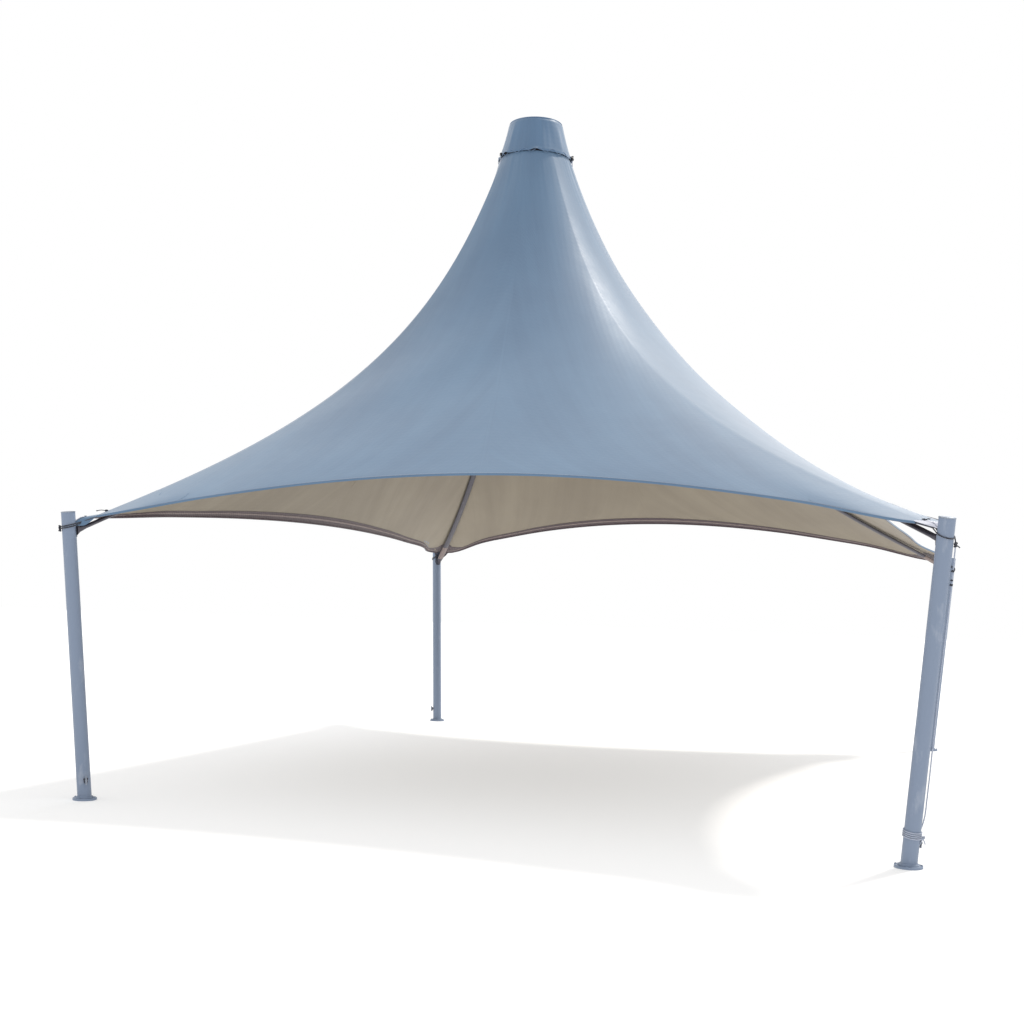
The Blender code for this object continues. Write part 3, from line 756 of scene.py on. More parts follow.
    def add_turned(self, profile: Points, segments: int, slot: int, place: Matrix) -> None:
        """Adds a solid of revolution about Z.

        Args:
            profile: radius and height of each point, from the top down the outer side.
            segments: number of steps round.
            slot: number of the finish.
            place: where it goes.
        """
        points = np.array(profile, float)
        angles = TAU * np.arange(segments) / segments
        grid = np.stack(np.broadcast_arrays(
            points[:, 0:1] * np.cos(angles), points[:, 0:1] * np.sin(angles), points[:, 1:2]), axis=2)
        girth = points[:, 0].max() * TAU
        marks = band_marks(girth * np.arange(segments + 1) / segments, lengths_along(points))
        self._add_rings(grid, marks, slot, False, place)

    def add_strap(self, path: np.ndarray, up: np.ndarray, widths: np.ndarray, thickness: float,
                  steps: int, crown: float) -> None:
        """Adds a flat band along a path.

        Args:
            path: the middle line of its inner face.
            up: the direction that its face looks in.
            widths: its width at each point.
            thickness: how thick it is.
            steps: number of steps across.
            crown: how far its middle bulges.
        """
        runs = unit(np.gradient(path, axis=0))
        sides = unit(np.cross(np.broadcast_to(up, path.shape), runs))
        faces = unit(np.cross(runs, sides))
        shares = np.linspace(-0.5, 0.5, steps + 1)
        base = path[:, None, :] + sides[:, None, :] * (widths[:, None] * shares[None, :])[:, :, None]
        base = base + faces[:, None, :] * (crown * (1.0 - 4.0 * shares ** 2))[None, :, None]
        marks = band_marks(widths.max() * (shares + 0.5), lengths_along(path))
        self.add_sheet(base + faces[:, None, :] * thickness, base, marks)

    def piece(self, name: str, finishes: Sequence[bpy.types.Material], slot: str | None,
              sharp: float = 35.0) -> bpy.types.Object:
        """Makes the piece and puts it on the frame.

        Args:
            name: the piece's name.
            finishes: its materials, in the order of their numbers.
            slot: the record's material slot; not used.
            sharp: angle in degrees above which an edge stays sharp.

        Returns:
            The new object.
        """
        mesh = bpy.data.meshes.new(name)
        points = np.concatenate(self.points)
        mesh.from_pydata(points.tolist(), [], self.faces)
        layer = mesh.uv_layers.new(name="UVMap")
        layer.data.foreach_set("uv", np.array(self.corners, np.float32).ravel())
        mesh.polygons.foreach_set("material_index", self.slots)
        for finish in finishes:
            mesh.materials.append(finish)
        mesh.shade_smooth()
        mesh.set_sharp_from_angle(angle=math.radians(sharp))
        piece = bpy.data.objects.new(name, mesh)
        bpy.context.scene.collection.objects.link(piece)
        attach(piece, BODY)
        log.info("%s: %d faces", name, len(self.faces))
        return piece


# The cloth's net

@dataclass
class TensionNet:
    """The net of tensions in balance that gives the cloth its shape."""

    rows: int = 18
    columns: int = 64
    hoop_pull: float = 6.5
    edge_pull: float = 1.48
    left_edge_pull: float = 4.85
    right_hip_pull: float = 0.24
    left_hip_pull: float = 1.22
    fine: int = 5

    def column_of(self, corner: Corner) -> int:
        """The net's column at a corner: each side has a quarter of the columns."""
        quarter = self.columns // len(Corner)
        return quarter // 2 + quarter * list(Corner).index(corner)

    def held_points(self) -> dict[tuple[int, int], np.ndarray]:
        """The points that are held: the crown ring and the four corner edges."""
        held = {}
        for column in range(self.columns):
            angle = TAU * column / self.columns
            held[(0, column)] = np.array((
                LAYOUT.crown_centre[0] + LAYOUT.ring_radius * math.cos(angle),
                LAYOUT.crown_centre[1] + LAYOUT.ring_radius * math.sin(angle),
                LAYOUT.ring_height,
            ))
        for corner in Corner:
            for step in (-1, 0, 1):
                local = Vector((LAYOUT.top_radius - LAYOUT.corner_inset, LAYOUT.corner_half_width * step,
                                LAYOUT.corner_height))
                held[(self.rows, self.column_of(corner) + step)] = np.array(corner.turn @ local)
        return held

    def links(self) -> list[tuple[tuple[int, int], tuple[int, int], float]]:
        """Pairs of points with the tension between them."""
        down, across = 1.0 / self.rows, TAU / self.columns
        hips = {}
        for corner in Corner:
            hips[self.column_of(corner)] = self.left_hip_pull if corner.on_left else self.right_hip_pull
        left = range(self.column_of(Corner.BACK_LEFT), self.column_of(Corner.FRONT_LEFT))
        pairs = []
        for row in range(self.rows + 1):
            for column in range(self.columns):
                here, beside = (row, column), (row, (column + 1) % self.columns)
                if row < self.rows:
                    pairs.append((here, (row + 1, column), across / down + hips.get(column, 0.0) / down))
                if 0 < row < self.rows:
                    pairs.append((here, beside, self.hoop_pull * down / across))
                if row == self.rows:
                    edge = self.left_edge_pull if column in left else self.edge_pull
                    pairs.append((here, beside, 0.5 * self.hoop_pull * down / across + edge / across))
        return pairs

    def solve(self) -> np.ndarray:
        """The points where every pull balances, by row from the crown and column."""
        held = self.held_points()
        every = [(r, c) for r in range(self.rows + 1) for c in range(self.columns)]
        number = {key: index for index, key in enumerate(key for key in every if key not in held)}
        matrix = np.zeros((len(number), len(number)))
        loads = np.zeros((len(number), 3))
        for first, second, pull in self.links():
            for here, there in ((first, second), (second, first)):
                if here not in number:
                    continue
                matrix[number[here], number[here]] += pull
                if there in number:
                    matrix[number[here], number[there]] -= pull
                else:
                    loads[number[here]] += pull * held[there]
        solved = np.linalg.solve(matrix, loads)
        net = np.zeros((self.rows + 1, self.columns, 3))
        for key in every:
            net[key] = held[key] if key in held else solved[number[key]]
        return net

    def finer(self, knots: np.ndarray) -> np.ndarray:
        """A smooth line through points that may be unevenly spaced.

        Args:
            knots: the points that the line passes through.

        Returns:
            The line's points, with an even number of steps between each two knots.
        """
        gaps = np.linalg.norm(np.diff(knots, axis=0), axis=1)
        slopes = np.diff(knots, axis=0) / gaps[:, None]
        matrix = np.eye(len(knots))
        right = np.zeros_like(knots)
        for k in range(1, len(knots) - 1):
            matrix[k, k - 1:k + 2] = (gaps[k - 1], 2.0 * (gaps[k - 1] + gaps[k]), gaps[k])
            right[k] = 6.0 * (slopes[k] - slopes[k - 1])
        bends = np.linalg.solve(matrix, right)
        line = []
        for k, gap in enumerate(gaps):
            for step in range(self.fine):
                t = step / self.fine
                bend = ((1.0 - t) ** 3 - (1.0 - t)) * bends[k] + (t ** 3 - t) * bends[k + 1]
                line.append(knots[k] * (1.0 - t) + knots[k + 1] * t + gap * gap / 6.0 * bend)
        line.append(knots[-1])
        return np.array(line)

    def refined(self) -> np.ndarray:
        """The net drawn finer, smooth between the hips and creased along them."""
        net = self.solve()
        rows = np.stack([self.finer(net[:, column]) for column in range(self.columns)], axis=1)
        quarter = self.columns // len(Corner)
        grid = np.zeros((len(rows), self.columns * self.fine, 3))
        for corner in Corner:
            first = self.column_of(corner)
            chosen = [(first + step) % self.columns for step in range(quarter + 1)]
            target = [(first * self.fine + step) % grid.shape[1] for step in range(quarter * self.fine)]
            for row, knots in enumerate(rows[:, chosen]):
                grid[row, target] = self.finer(knots)[:-1]
        return grid


@dataclass
class Canopy:
    """The tensioned cone of cloth, with its tapes, patches and bound edges."""

    finishes: Finishes
    net: TensionNet = field(default_factory=TensionNet)
    cloth_thickness: float = 1.2 * MM
    solid_thickness: float = 5.0 * MM      # of the panels it stands for
    tape_thickness: float = 1.4 * MM
    seam_half_width: float = 0.024
    hip_half_width: float = 0.050
    cuff_width: float = 0.105
    fold_width: float = 0.022
    fold_thickness: float = 2.0 * MM
    patch_reach: float = 0.62
    bead_radius: float = 0.0105
    turned_margin: float = 0.045
    turned_thickness: float = 1.0 * MM
    cable_radius: float = 0.010
    cuff_fold_start: float = 0.42          # where the folded strip starts, as a share of the cuff
    gusset_reach: float = 0.27
    quiet_hip: float = 0.22                # the cloth is smooth nearer to a hip than this
    gather_height: float = 3.0 * MM        # at the crown
    gathers: tuple[tuple[float, float, float], ...] = ((23.0, 0.7, 1.0), (37.0, 2.1, 0.7), (61.0, 4.0, 0.5))
    sweep_height: float = 2.2 * MM         # of the long folds down the cone
    fan_height: float = 6.0 * MM           # of the folds that spread from a corner
    fan_reach: float = 0.90
    dimple_height: float = 3.5 * MM
    flat_size: tuple[float, float] = (8.6, 9.6)

    def __post_init__(self) -> None:
        """Works out the fine grid, its normals and the length down each column."""
        self.grid = self.net.refined()
        self.steps_round = self.grid.shape[1]
        self.normals = self.find_normals(self.grid)
        self.grid = self.grid + self.normals * self.creases()[:, :, None]
        down = np.linalg.norm(np.diff(self.grid, axis=0), axis=2)
        self.from_edge = np.vstack([np.cumsum(down[::-1], axis=0)[::-1], np.zeros((1, self.steps_round))])

    @staticmethod
    def find_normals(grid: np.ndarray) -> np.ndarray:
        """Unit normals of the grid, pointing out of the cone."""
        around = np.roll(grid, -1, axis=1) - np.roll(grid, 1, axis=1)
        return unit(np.cross(np.gradient(grid, axis=0), around))

    def hip_column(self, corner: Corner) -> int:
        """The fine column that runs down a hip."""
        return self.net.column_of(corner) * self.net.fine

    def creases(self) -> np.ndarray:
        """How far the cloth stands off its even shape: gathers at the crown, fans at the corners, dimples."""
        rows = self.grid.shape[0]
        down = np.linspace(0.0, 1.0, rows)[:, None]
        turn = (TAU * np.arange(self.steps_round) / self.steps_round)[None, :]
        off_hip = np.full((rows, self.steps_round), math.inf)
        fans = np.zeros_like(off_hip)
        for corner in Corner:
            hip = self.grid[:, self.hip_column(corner)]
            off_hip = np.minimum(off_hip, np.linalg.norm(self.grid - hip[:, None, :], axis=2))
            reach = np.linalg.norm(self.grid - hip[-1], axis=2)
            middle = TAU * self.hip_column(corner) / self.steps_round
            spread = np.cos((turn - middle) * 16.0 / (0.35 + reach))
            fans += self.fan_height * bell(reach, self.fan_reach) * spread
        free = 1.0 - bell(off_hip, self.quiet_hip)
        held = np.clip((1.0 - down) / 0.05, 0.0, 1.0) * np.clip(down / 0.02, 0.0, 1.0)
        gathers = self.gather_height * np.exp(-down / 0.10) * waves(turn, self.gathers)
        sweep = self.sweep_height * np.cos(9.0 * turn + 26.0 * down) * np.sin(math.pi * down)
        dimples = self.dimple_height * np.sin(5.0 * turn + 7.0 * down)
        dimples = dimples * np.sin(11.0 * down + 3.0 * turn + 1.0)
        return (gathers + sweep + fans + dimples) * free * held

    def on_cloth(self, column: float, from_edge: float, lift: float) -> np.ndarray:
        """A point on the cloth, by its distance up from the edge.

        Args:
            column: the fine column, which may lie between two.
            from_edge: distance from the edge along the column.
            lift: how far it stands out of the outer face, negative for inside.

        Returns:
            The point.
        """
        low = math.floor(column)
        found = []
        for which in (low, low + 1):
            c = which % self.steps_round
            lengths = self.from_edge[::-1, c]
            normal = unit(point_at(from_edge, lengths, self.normals[::-1, c]))
            found.append(point_at(from_edge, lengths, self.grid[::-1, c]) + normal * lift)
        return found[0] * (1.0 - (column - low)) + found[1] * (column - low)

    def patch(self, columns: Sequence[float], depths: Callable[[float], Sequence[float]], lift: float,
              thickness: float) -> tuple[np.ndarray, np.ndarray, np.ndarray]:
        """A strip of cloth laid on the canopy.

        Args:
            columns: the fine columns that it covers.
            depths: gives, for a column, the distances from the edge.
            lift: how far its lower face stands out of the outer face, negative for inside.
            thickness: how thick it is, negative to build inwards.

        Returns:
            The outer grid, the inner grid and the texture places.
        """
        base, raised = (np.array([[self.on_cloth(c, d, level) for d in depths(c)] for c in columns])
                        for level in (lift, lift + thickness))
        marks = grid_marks(base)
        return (raised, base, marks) if thickness > 0.0 else (base, raised, marks)

    def cloth(self) -> bpy.types.Object:
        """The one curved sheet, with painted light in its colours: blue-grey outside for the sky's shade and
        beige inside for warm light through the cloth.
        """
        inner = self.grid - self.normals * self.cloth_thickness
        marks = np.zeros((self.grid.shape[0], self.steps_round + 1, 2))
        gore = self.steps_round // 8
        wide = np.linalg.norm(np.roll(self.grid, -1, axis=1) - self.grid, axis=2)
        for start in range(0, self.steps_round, gore):
            span = np.cumsum(wide[:, start:start + gore], axis=1)
            marks[:, start + 1:start + gore + 1, 0] = span - span[:, -1:] / 2.0
        marks[:, :-1, 1] = -self.from_edge
        marks[:, -1, 1] = marks[:, 0, 1]
        shape = Shape()
        shape.add_sheet(self.grid, inner, marks, 0, 1, around=True)
        finishes = (self.finishes.outer_cloth, self.finishes.inner_cloth)
        piece = shape.piece("canopy", finishes, "canopy_fabric", 50.0)
        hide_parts(*[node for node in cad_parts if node.startswith("canopy_panel")])
        return piece

    def edge_columns(self, edge: Edge) -> list[int]:
        """The fine columns along an edge, between its two corner plates."""
        first = self.hip_column(edge.value[1]) + self.net.fine
        count = self.steps_round // 4 - 2 * self.net.fine
        return [first + step for step in range(count + 1)]

    def bound_edges(self) -> list[bpy.types.Object]:
        """The cloth's edges, turned in round the edge cables and welded down."""
        pieces = []
        wrap = np.radians(np.linspace(78.0, -35.0, 9))
        margin = np.linspace(self.turned_margin, 0.006, 5)
        for edge in Edge:
            columns = self.edge_columns(edge)
            around = [c % self.steps_round for c in columns]
            normals = self.normals[-1, around]
            line = self.grid[-1, around] - normals * self.solid_thickness / 2.0
            runs = unit(np.gradient(line, axis=0))
            outward = self.grid[-1, around] - self.grid[-2, around]
            outward -= runs * np.sum(outward * runs, axis=1, keepdims=True)
            outward = unit(outward - normals * np.sum(outward * normals, axis=1, keepdims=True))
            path = line + outward * self.cable_radius
            laid = self.patch(columns, lambda column: margin, 0.2 * MM, self.turned_thickness)
            round_cable = (outward[:, None, :] * np.cos(wrap)[None, :, None]
                           + normals[:, None, :] * np.sin(wrap)[None, :, None])
            outer, inner = (
                np.concatenate([laid[which], path[:, None, :] + radius * round_cable], axis=1)
                for which, radius in enumerate((self.bead_radius + self.turned_thickness, self.bead_radius)))
            shape = Shape()
            shape.add_sheet(outer, inner, grid_marks(outer))
            shape.add_tube(path, self.bead_radius * 0.98, 14, 1)
            piece = shape.piece(
                "edge_pocket_" + edge.value[0], (self.finishes.outer_cloth, self.finishes.hem), "hem_webbing")
            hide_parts("edge_cable_" + edge.value[0])
            pieces.append(piece)
        return pieces

    def cuffs(self) -> list[bpy.types.Object]:
        """The dark bands sewn inside the edges, each with a paler folded strip."""
        pieces = []
        inside = -self.solid_thickness / 2.0
        wide = np.linspace(0.0, self.cuff_width, 8)
        start = self.cuff_width * self.cuff_fold_start
        strip = np.linspace(start, start + self.fold_width, 4)
        for edge in Edge:
            columns = self.edge_columns(edge)
            shape = Shape()
            shape.add_sheet(*self.patch(columns, lambda column: wide, inside, -self.tape_thickness))
            shape.add_sheet(*self.patch(
                columns, lambda column: strip, inside - self.tape_thickness, -self.fold_thickness), 1)
            pieces.append(shape.piece(
                "edge_cuff_" + edge.value[0], (self.finishes.hem, self.finishes.hem_fold), "hem_webbing"))
        return pieces

    def seam_tapes(self) -> list[bpy.types.Object]:
        """The tapes welded inside the seams, down the hips and down the middle of each side."""
        pieces = []
        seams = 2 * len(Corner)
        for index in range(seams):
            middle = (index * self.steps_round) // seams
            on_hip = index % 2 == 1
            half = self.hip_half_width if on_hip else self.seam_half_width
            rows = range(3, self.grid.shape[0] - (4 if on_hip else 10))
            depth = -self.solid_thickness * 0.4
            outer, inner = (np.array([[self.across_seam(row, middle, offset, level)
                                       for offset in np.linspace(-half, half, 7)] for row in rows])
                            for level in (depth, depth - self.tape_thickness))
            marks = grid_marks(outer)
            marks[:, :, 0] = np.linspace(0.0, 2.0 * half, 7)
            shape = Shape()
            shape.add_sheet(outer, inner, marks)
            name = ("hip_tape_" if on_hip else "seam_tape_") + str(index // 2 + 1)
            pieces.append(shape.piece(name, (self.finishes.inner_cloth,), "canopy_fabric"))
        return pieces

    def across_seam(self, row: int, middle: int, offset: float, depth: float) -> np.ndarray:
        """A point beside a seam, by its distance across.

        Args:
            row: the fine row.
            middle: the seam's fine column.
            offset: distance to one side.
            depth: how far it stands out of the outer face, negative for inside.

        Returns:
            The point.
        """
        way = 1 if offset >= 0.0 else -1
        columns = [(middle + way * step) % self.steps_round for step in range(9)]
        line = self.grid[row, columns] + self.normals[row, columns] * depth
        return point_at(abs(offset), lengths_along(line), line)

    def corner_patches(self) -> list[bpy.types.Object]:
        """The doubled cloth at each corner, outside, and its dark gusset inside."""
        pieces = []
        for corner in Corner:
            hip = self.hip_column(corner)
            for side, name, finish, reach, spread in (
                    (1.0, "corner_patch_", self.finishes.outer_cloth, self.patch_reach, 11),
                    (-1.0, "corner_gusset_", self.finishes.hem, self.gusset_reach, 8)):
                columns = np.arange(hip - spread, hip + spread + 1)

                def depths(column: float) -> np.ndarray:
                    """The patch's rows, reaching furthest along the hip."""
                    away = abs(column - hip) / spread
                    return np.linspace(0.0, reach * math.sqrt(max(0.02, 1.0 - away * away)), 12)

                lift = 0.3 * MM if side > 0.0 else -self.solid_thickness * 0.45
                shape = Shape()
                shape.add_sheet(*self.patch(columns, depths, lift, side * self.tape_thickness))
                pieces.append(shape.piece(name + corner.label, (finish,), "canopy_fabric"))
        return pieces

    def build(self) -> None:
        """Makes the cloth and all that is sewn to it."""
        cloth = self.cloth()
        sewn = self.bound_edges() + self.cuffs() + self.seam_tapes() + self.corner_patches()


@dataclass
class Rafters:
    """The bent bars under the hips, with their saddles on the posts."""

    finishes: Finishes
    canopy: Canopy
    radius: float = 0.03015            # of the round pipe that the bar is drawn for
    clearance: float = 1.5 * MM
    dip: float = 0.014
    dip_share: float = 4.0 / 18.0
    post_side: float = 2.262
    half_width: float = 0.036
    half_thickness: float = 0.017
    foot_half_width: float = 0.024     # the bar narrows and deepens where it meets the post
    foot_half_thickness: float = 0.042
    neck_half_thickness: float = 0.025
    foot_length: float = 0.07
    lift: float = 0.008                # how far the bar lies up towards the cloth
    drop_right: float = 0.020          # how far its foot sags on the right
    drop_length: float = 0.60
    wrap_start: float = 0.09
    wrap_length: float = 0.34
    wrap_rib: float = 0.034
    wrap_thickness: float = 3.0 * MM
    saddle_height: float = 0.110
    saddle_thickness: float = 0.005
    saddle_gap: float = 0.3 * MM
    top_gap: float = 0.030

    def path(self, corner: Corner, skin: BVHTree) -> tuple[np.ndarray, np.ndarray]:
        """The bar's middle line, from the crown ring down to the post.

        Args:
            corner: the hip that it lies under.
            skin: the cloth's inner face.

        Returns:
            The path's points and the direction of the bar's flat side at each.
        """
        column = self.canopy.hip_column(corner)
        grid, normals = self.canopy.grid, self.canopy.normals
        rows = grid.shape[0]
        path = []
        for row in range(rows):
            inward = -Vector(normals[row, column])
            point = Vector(grid[row, column]) + inward * (self.canopy.solid_thickness + self.radius)
            for _ in range(6):
                distance = skin.find_nearest(point)[3]
                point += inward * max(0.0, self.radius + self.clearance - distance)
            share = max(0.0, (row / (rows - 1) - 1.0 + self.dip_share) / self.dip_share)
            path.append(point + inward * self.dip * share * share)
        low_limit = LAYOUT.ring_height - self.top_gap
        smooth = np.array([point for point in path if point.z < low_limit])
        for _ in range(3):
            smooth[1:-1] = smooth[1:-1] * 0.5 + (smooth[:-2] + smooth[2:]) * 0.25
        foot, run = Vector(smooth[-1]), (Vector(smooth[-1]) - Vector(smooth[-4])).normalized()
        post = LAYOUT.post_place(corner)
        outward = post.to_3x3() @ Vector((1.0, 0.0, 0.0))
        axis_point = post @ Vector((0.0, 0.0, self.post_side))
        centre = foot + run * (axis_point - foot).dot(outward) / run.dot(outward)
        stop = centre - run * (LAYOUT.post_radius + self.saddle_thickness - 0.001) / run.dot(outward)
        anchors = np.vstack([smooth, [foot.lerp(stop, 0.5), stop]])
        facing = np.vstack([normals[-len(smooth):, column], [normals[-1, column]] * 2])
        line = np.vstack([anchors[:-5], smooth_path(anchors[-5:], 8)])
        facing = unit(np.vstack([facing[:-5], smooth_path(facing[-5:], 8)]))
        low = np.clip(1.0 - self.from_foot(line) / self.drop_length, 0.0, 1.0)
        drop = 0.0 if corner.on_left else self.drop_right
        line = line + facing * (self.lift * (1.0 - low) - drop * low)[:, None]
        upright = np.array(post.to_3x3() @ Vector((0.0, 0.0, 1.0)))
        near = np.clip(1.0 - self.from_foot(line) / self.foot_length, 0.0, 1.0)[:, None]
        return line, unit(facing * (1.0 - near) + upright * near)

    @staticmethod
    def from_foot(path: np.ndarray) -> np.ndarray:
        """The distance of each point of a path from its foot."""
        return lengths_along(path[::-1])[::-1]

    def build(self) -> None:
        """Makes each bar, its saddle, and the wraps at the two back corners."""
        canopy = self.canopy
        inner = canopy.grid - canopy.normals * canopy.solid_thickness
        columns = inner.shape[1]
        faces = []
        for row in range(inner.shape[0] - 1):
            for column in range(columns):
                beside = (column + 1) % columns
                faces.append((row * columns + column, (row + 1) * columns + column,
                              (row + 1) * columns + beside, row * columns + beside))
        skin = BVHTree.FromPolygons([Vector(p) for p in inner.reshape(-1, 3)], faces)
        for corner in Corner:
            path, facing = self.path(corner, skin)
            reach = self.from_foot(path)
            shape = Shape()
            wide = np.interp(reach, (0.0, self.foot_length), (self.foot_half_width, self.half_width))
            thick = np.interp(reach, (0.0, 0.020, self.foot_length + 0.005),
                              (self.foot_half_thickness, self.neck_half_thickness, self.half_thickness))
            shape.add_oval(path, facing, wide, thick)
            piece = shape.piece("rafter_bar_" + corner.label, (self.finishes.rafter_steel,), "rafter_steel")
            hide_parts("rafter_" + corner.label)
            self.saddle(corner, path[-1])
            if corner in (Corner.BACK_LEFT, Corner.BACK_RIGHT):
                self.foot_wrap(corner, path, facing)

    def foot_wrap(self, corner: Corner, path: np.ndarray, facing: np.ndarray) -> None:
        """A ribbed strip of cloth wound round the bar's foot, where the cloth could chafe.

        Args:
            corner: the corner that it stands at.
            path: the bar's middle line.
            facing: the direction of the bar's flat side.
        """
        reach = lengths_along(path[::-1])
        marks = np.linspace(self.wrap_start, self.wrap_start + self.wrap_length, 60)
        middle = np.array([point_at(mark, reach, path[::-1]) for mark in marks])
        faces = unit(np.array([point_at(mark, reach, facing[::-1]) for mark in marks]))
        extra = self.wrap_thickness * (0.6 + 0.4 * np.cos(TAU * (marks - marks[0]) / self.wrap_rib))
        extra[0] = extra[-1] = -0.5 * MM
        shape = Shape()
        shape.add_oval(middle, faces, self.half_width + extra, self.half_thickness + extra, 24)
        shape.piece("rafter_wrap_" + corner.label, (self.finishes.hem_fold,), "hem_webbing")

    def saddle(self, corner: Corner, foot: np.ndarray) -> None:
        """The leaf-shaped plate that hugs the post's inner side and carries the bar's foot.

        Args:
            corner: the corner that it stands at.
            foot: the lower end of the bar.
        """
        post = LAYOUT.post_place(corner)
        middle = (post.inverted() @ Vector(foot)).z
        levels = np.linspace(1.0, -1.0, 13)[:, None]
        spread = np.radians(20.0 + 20.0 * (1.0 - levels ** 2))
        turns = math.pi + spread * np.linspace(-1.0, 1.0, 15)
        height = middle + levels * self.saddle_height / 2.0
        inner = LAYOUT.post_radius + self.saddle_gap
        faces = [np.stack(np.broadcast_arrays(radius * np.cos(turns), radius * np.sin(turns), height), axis=2)
                 for radius in (inner + self.saddle_thickness, inner)]
        marks = np.stack(np.broadcast_arrays(turns * LAYOUT.post_radius, height), axis=2)
        shape = Shape()
        shape.add_sheet(faces[0], faces[1], marks, place=post)
        piece = shape.piece("rafter_saddle_" + corner.label, (self.finishes.dark_steel,), "galvanised_steel")
        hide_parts("rafter_socket_" + corner.label)


@dataclass
class Posts:
    """The caps, welds, anchor bolts and cleat fittings of the posts."""

    finishes: Finishes
    cap_height: float = 0.010
    cap_lip: float = 1.5 * MM
    anchor_count: int = 4
    anchor_circle: float = 0.0875
    bolt_width: float = 12.5 * MM      # across the flats
    bolt_height: float = 4.5 * MM
    washer_radius: float = 9.5 * MM
    washer_thickness: float = 2.5 * MM
    stud: float = 2.0 * MM             # that stands out of the nut
    bead: float = 0.0055
    seal: float = 0.0042
    shackle_radius: float = 0.0045
    bow_radii: tuple[float, float] = (0.014, 0.026)
    cleat_height: float = 0.17
    cleat_reach: float = 0.034

    def cap(self, corner: Corner) -> None:
        """The pressed cap on top of the tube, with a lip round its rim."""
        top = LAYOUT.post_height / math.cos(LAYOUT.post_lean(corner))
        radius = LAYOUT.post_radius
        shape = Shape()
        shape.add_turned((
            (0.002, top + 0.0014), (radius * 0.6, top + 0.0010), (radius - 0.005, top - 0.0002),
            (radius - 0.001, top - 0.0008), (radius + self.cap_lip, top - 0.003),
            (radius + self.cap_lip, top - self.cap_height), (radius - 0.001, top - self.cap_height - 0.001),
        ), 48, 0, LAYOUT.post_place(corner))
        shape.piece("post_cap_" + corner.label, (self.finishes.zinc,), "galvanised_steel")

    def bolt(self, shape: Shape, place: Matrix) -> None:
        """Adds an anchor bolt's washer, nut and stud.

        Args:
            shape: what it is added to.
            place: the face that it sits on, Z out of it.
        """
        corner, washer = self.bolt_width / math.sqrt(3.0), self.washer_radius
        low = self.washer_thickness
        high = low + self.bolt_height
        shape.add_turned(((0.001, low), (washer - 0.001, low), (washer, low - 0.0008), (washer, -0.001),
                          (0.001, -0.001)), 20, 0, place)
        shape.add_turned(((corner * 0.55, high), (corner * 0.86, high),
                          (corner, high - self.bolt_height * 0.20), (corner, low), (corner * 0.5, low)),
                         6, 0, place)
        radius, threads = self.bolt_width * 0.31, 3
        profile = [(0.001, high + self.stud), (radius * 0.8, high + self.stud)]
        for thread in range(threads):
            level = high + self.stud * (1.0 - (thread + 0.5) / threads)
            profile.append((radius, level + self.stud * 0.25 / threads))
            profile.append((radius * 0.86, level - self.stud * 0.25 / threads))
        shape.add_turned(profile + [(radius, low)], 12, 0, place)

    def foot(self, corner: Corner) -> None:
        """The weld bead round the collar and the anchor bolts through the flange."""
        place = LAYOUT.foot_place(corner)
        shape = Shape()
        ripple = self.bead * (1.0 + 0.10 * np.sin(48.0 * np.linspace(0.0, TAU, 97)))
        ring = ring_path(LAYOUT.collar_radius, LAYOUT.flange_thickness + 0.002, 96)
        shape.add_tube(ring, ripple, 8, place=place)
        shape.piece("foot_weld_" + corner.label, (self.finishes.post_steel,), "post_steel")
        bolts = Shape()
        for index in range(self.anchor_count):
            turn = Matrix.Rotation(TAU * (index + 0.5) / self.anchor_count, 4, "Z")
            seat = Matrix.Translation((self.anchor_circle, 0.0, LAYOUT.flange_thickness))
            self.bolt(bolts, place @ turn @ seat)
        bolts.piece("anchor_bolts_" + corner.label, (self.finishes.post_steel,), "post_steel")

    def collar_seal(self, corner: Corner) -> None:
        """The bead where the leaning post leaves its collar."""
        lean = LAYOUT.post_lean(corner)
        ring = ring_path(LAYOUT.post_radius, 0.0, 72)
        ring[:, 2] = (LAYOUT.collar_height + ring[:, 0] * math.sin(lean)) / math.cos(lean)
        shape = Shape()
        shape.add_tube(ring, self.seal, 8, place=LAYOUT.post_place(corner))
        shape.piece("collar_seal_" + corner.label, (self.finishes.post_steel,), "post_steel")

    def shackle(self, corner: Corner) -> None:
        """A bow shackle that hangs from the cleat's stem."""
        post = LAYOUT.post_place(corner)
        reach = LAYOUT.post_radius + self.cleat_reach * 0.45
        turns = math.pi * np.linspace(1.25, -0.25, 25)
        across, down = self.bow_radii
        bow = np.array([(across * math.cos(turn), reach, self.cleat_height - down * math.sin(turn))
                        for turn in turns])
        pin = np.array([(x, reach, self.cleat_height + 0.0115) for x in (-0.019, 0.0, 0.019)])
        shape = Shape()
        for path in (bow, pin):
            shape.add_tube(path, self.shackle_radius, 10, place=post)
        shape.piece("shackle_" + corner.label, (self.finishes.dark_steel,), "galvanised_steel")

    def build(self) -> None:
        """Dresses all four posts."""
        for corner in Corner:
            self.cap(corner)
            self.foot(corner)
            self.collar_seal(corner)
            self.shackle(corner)


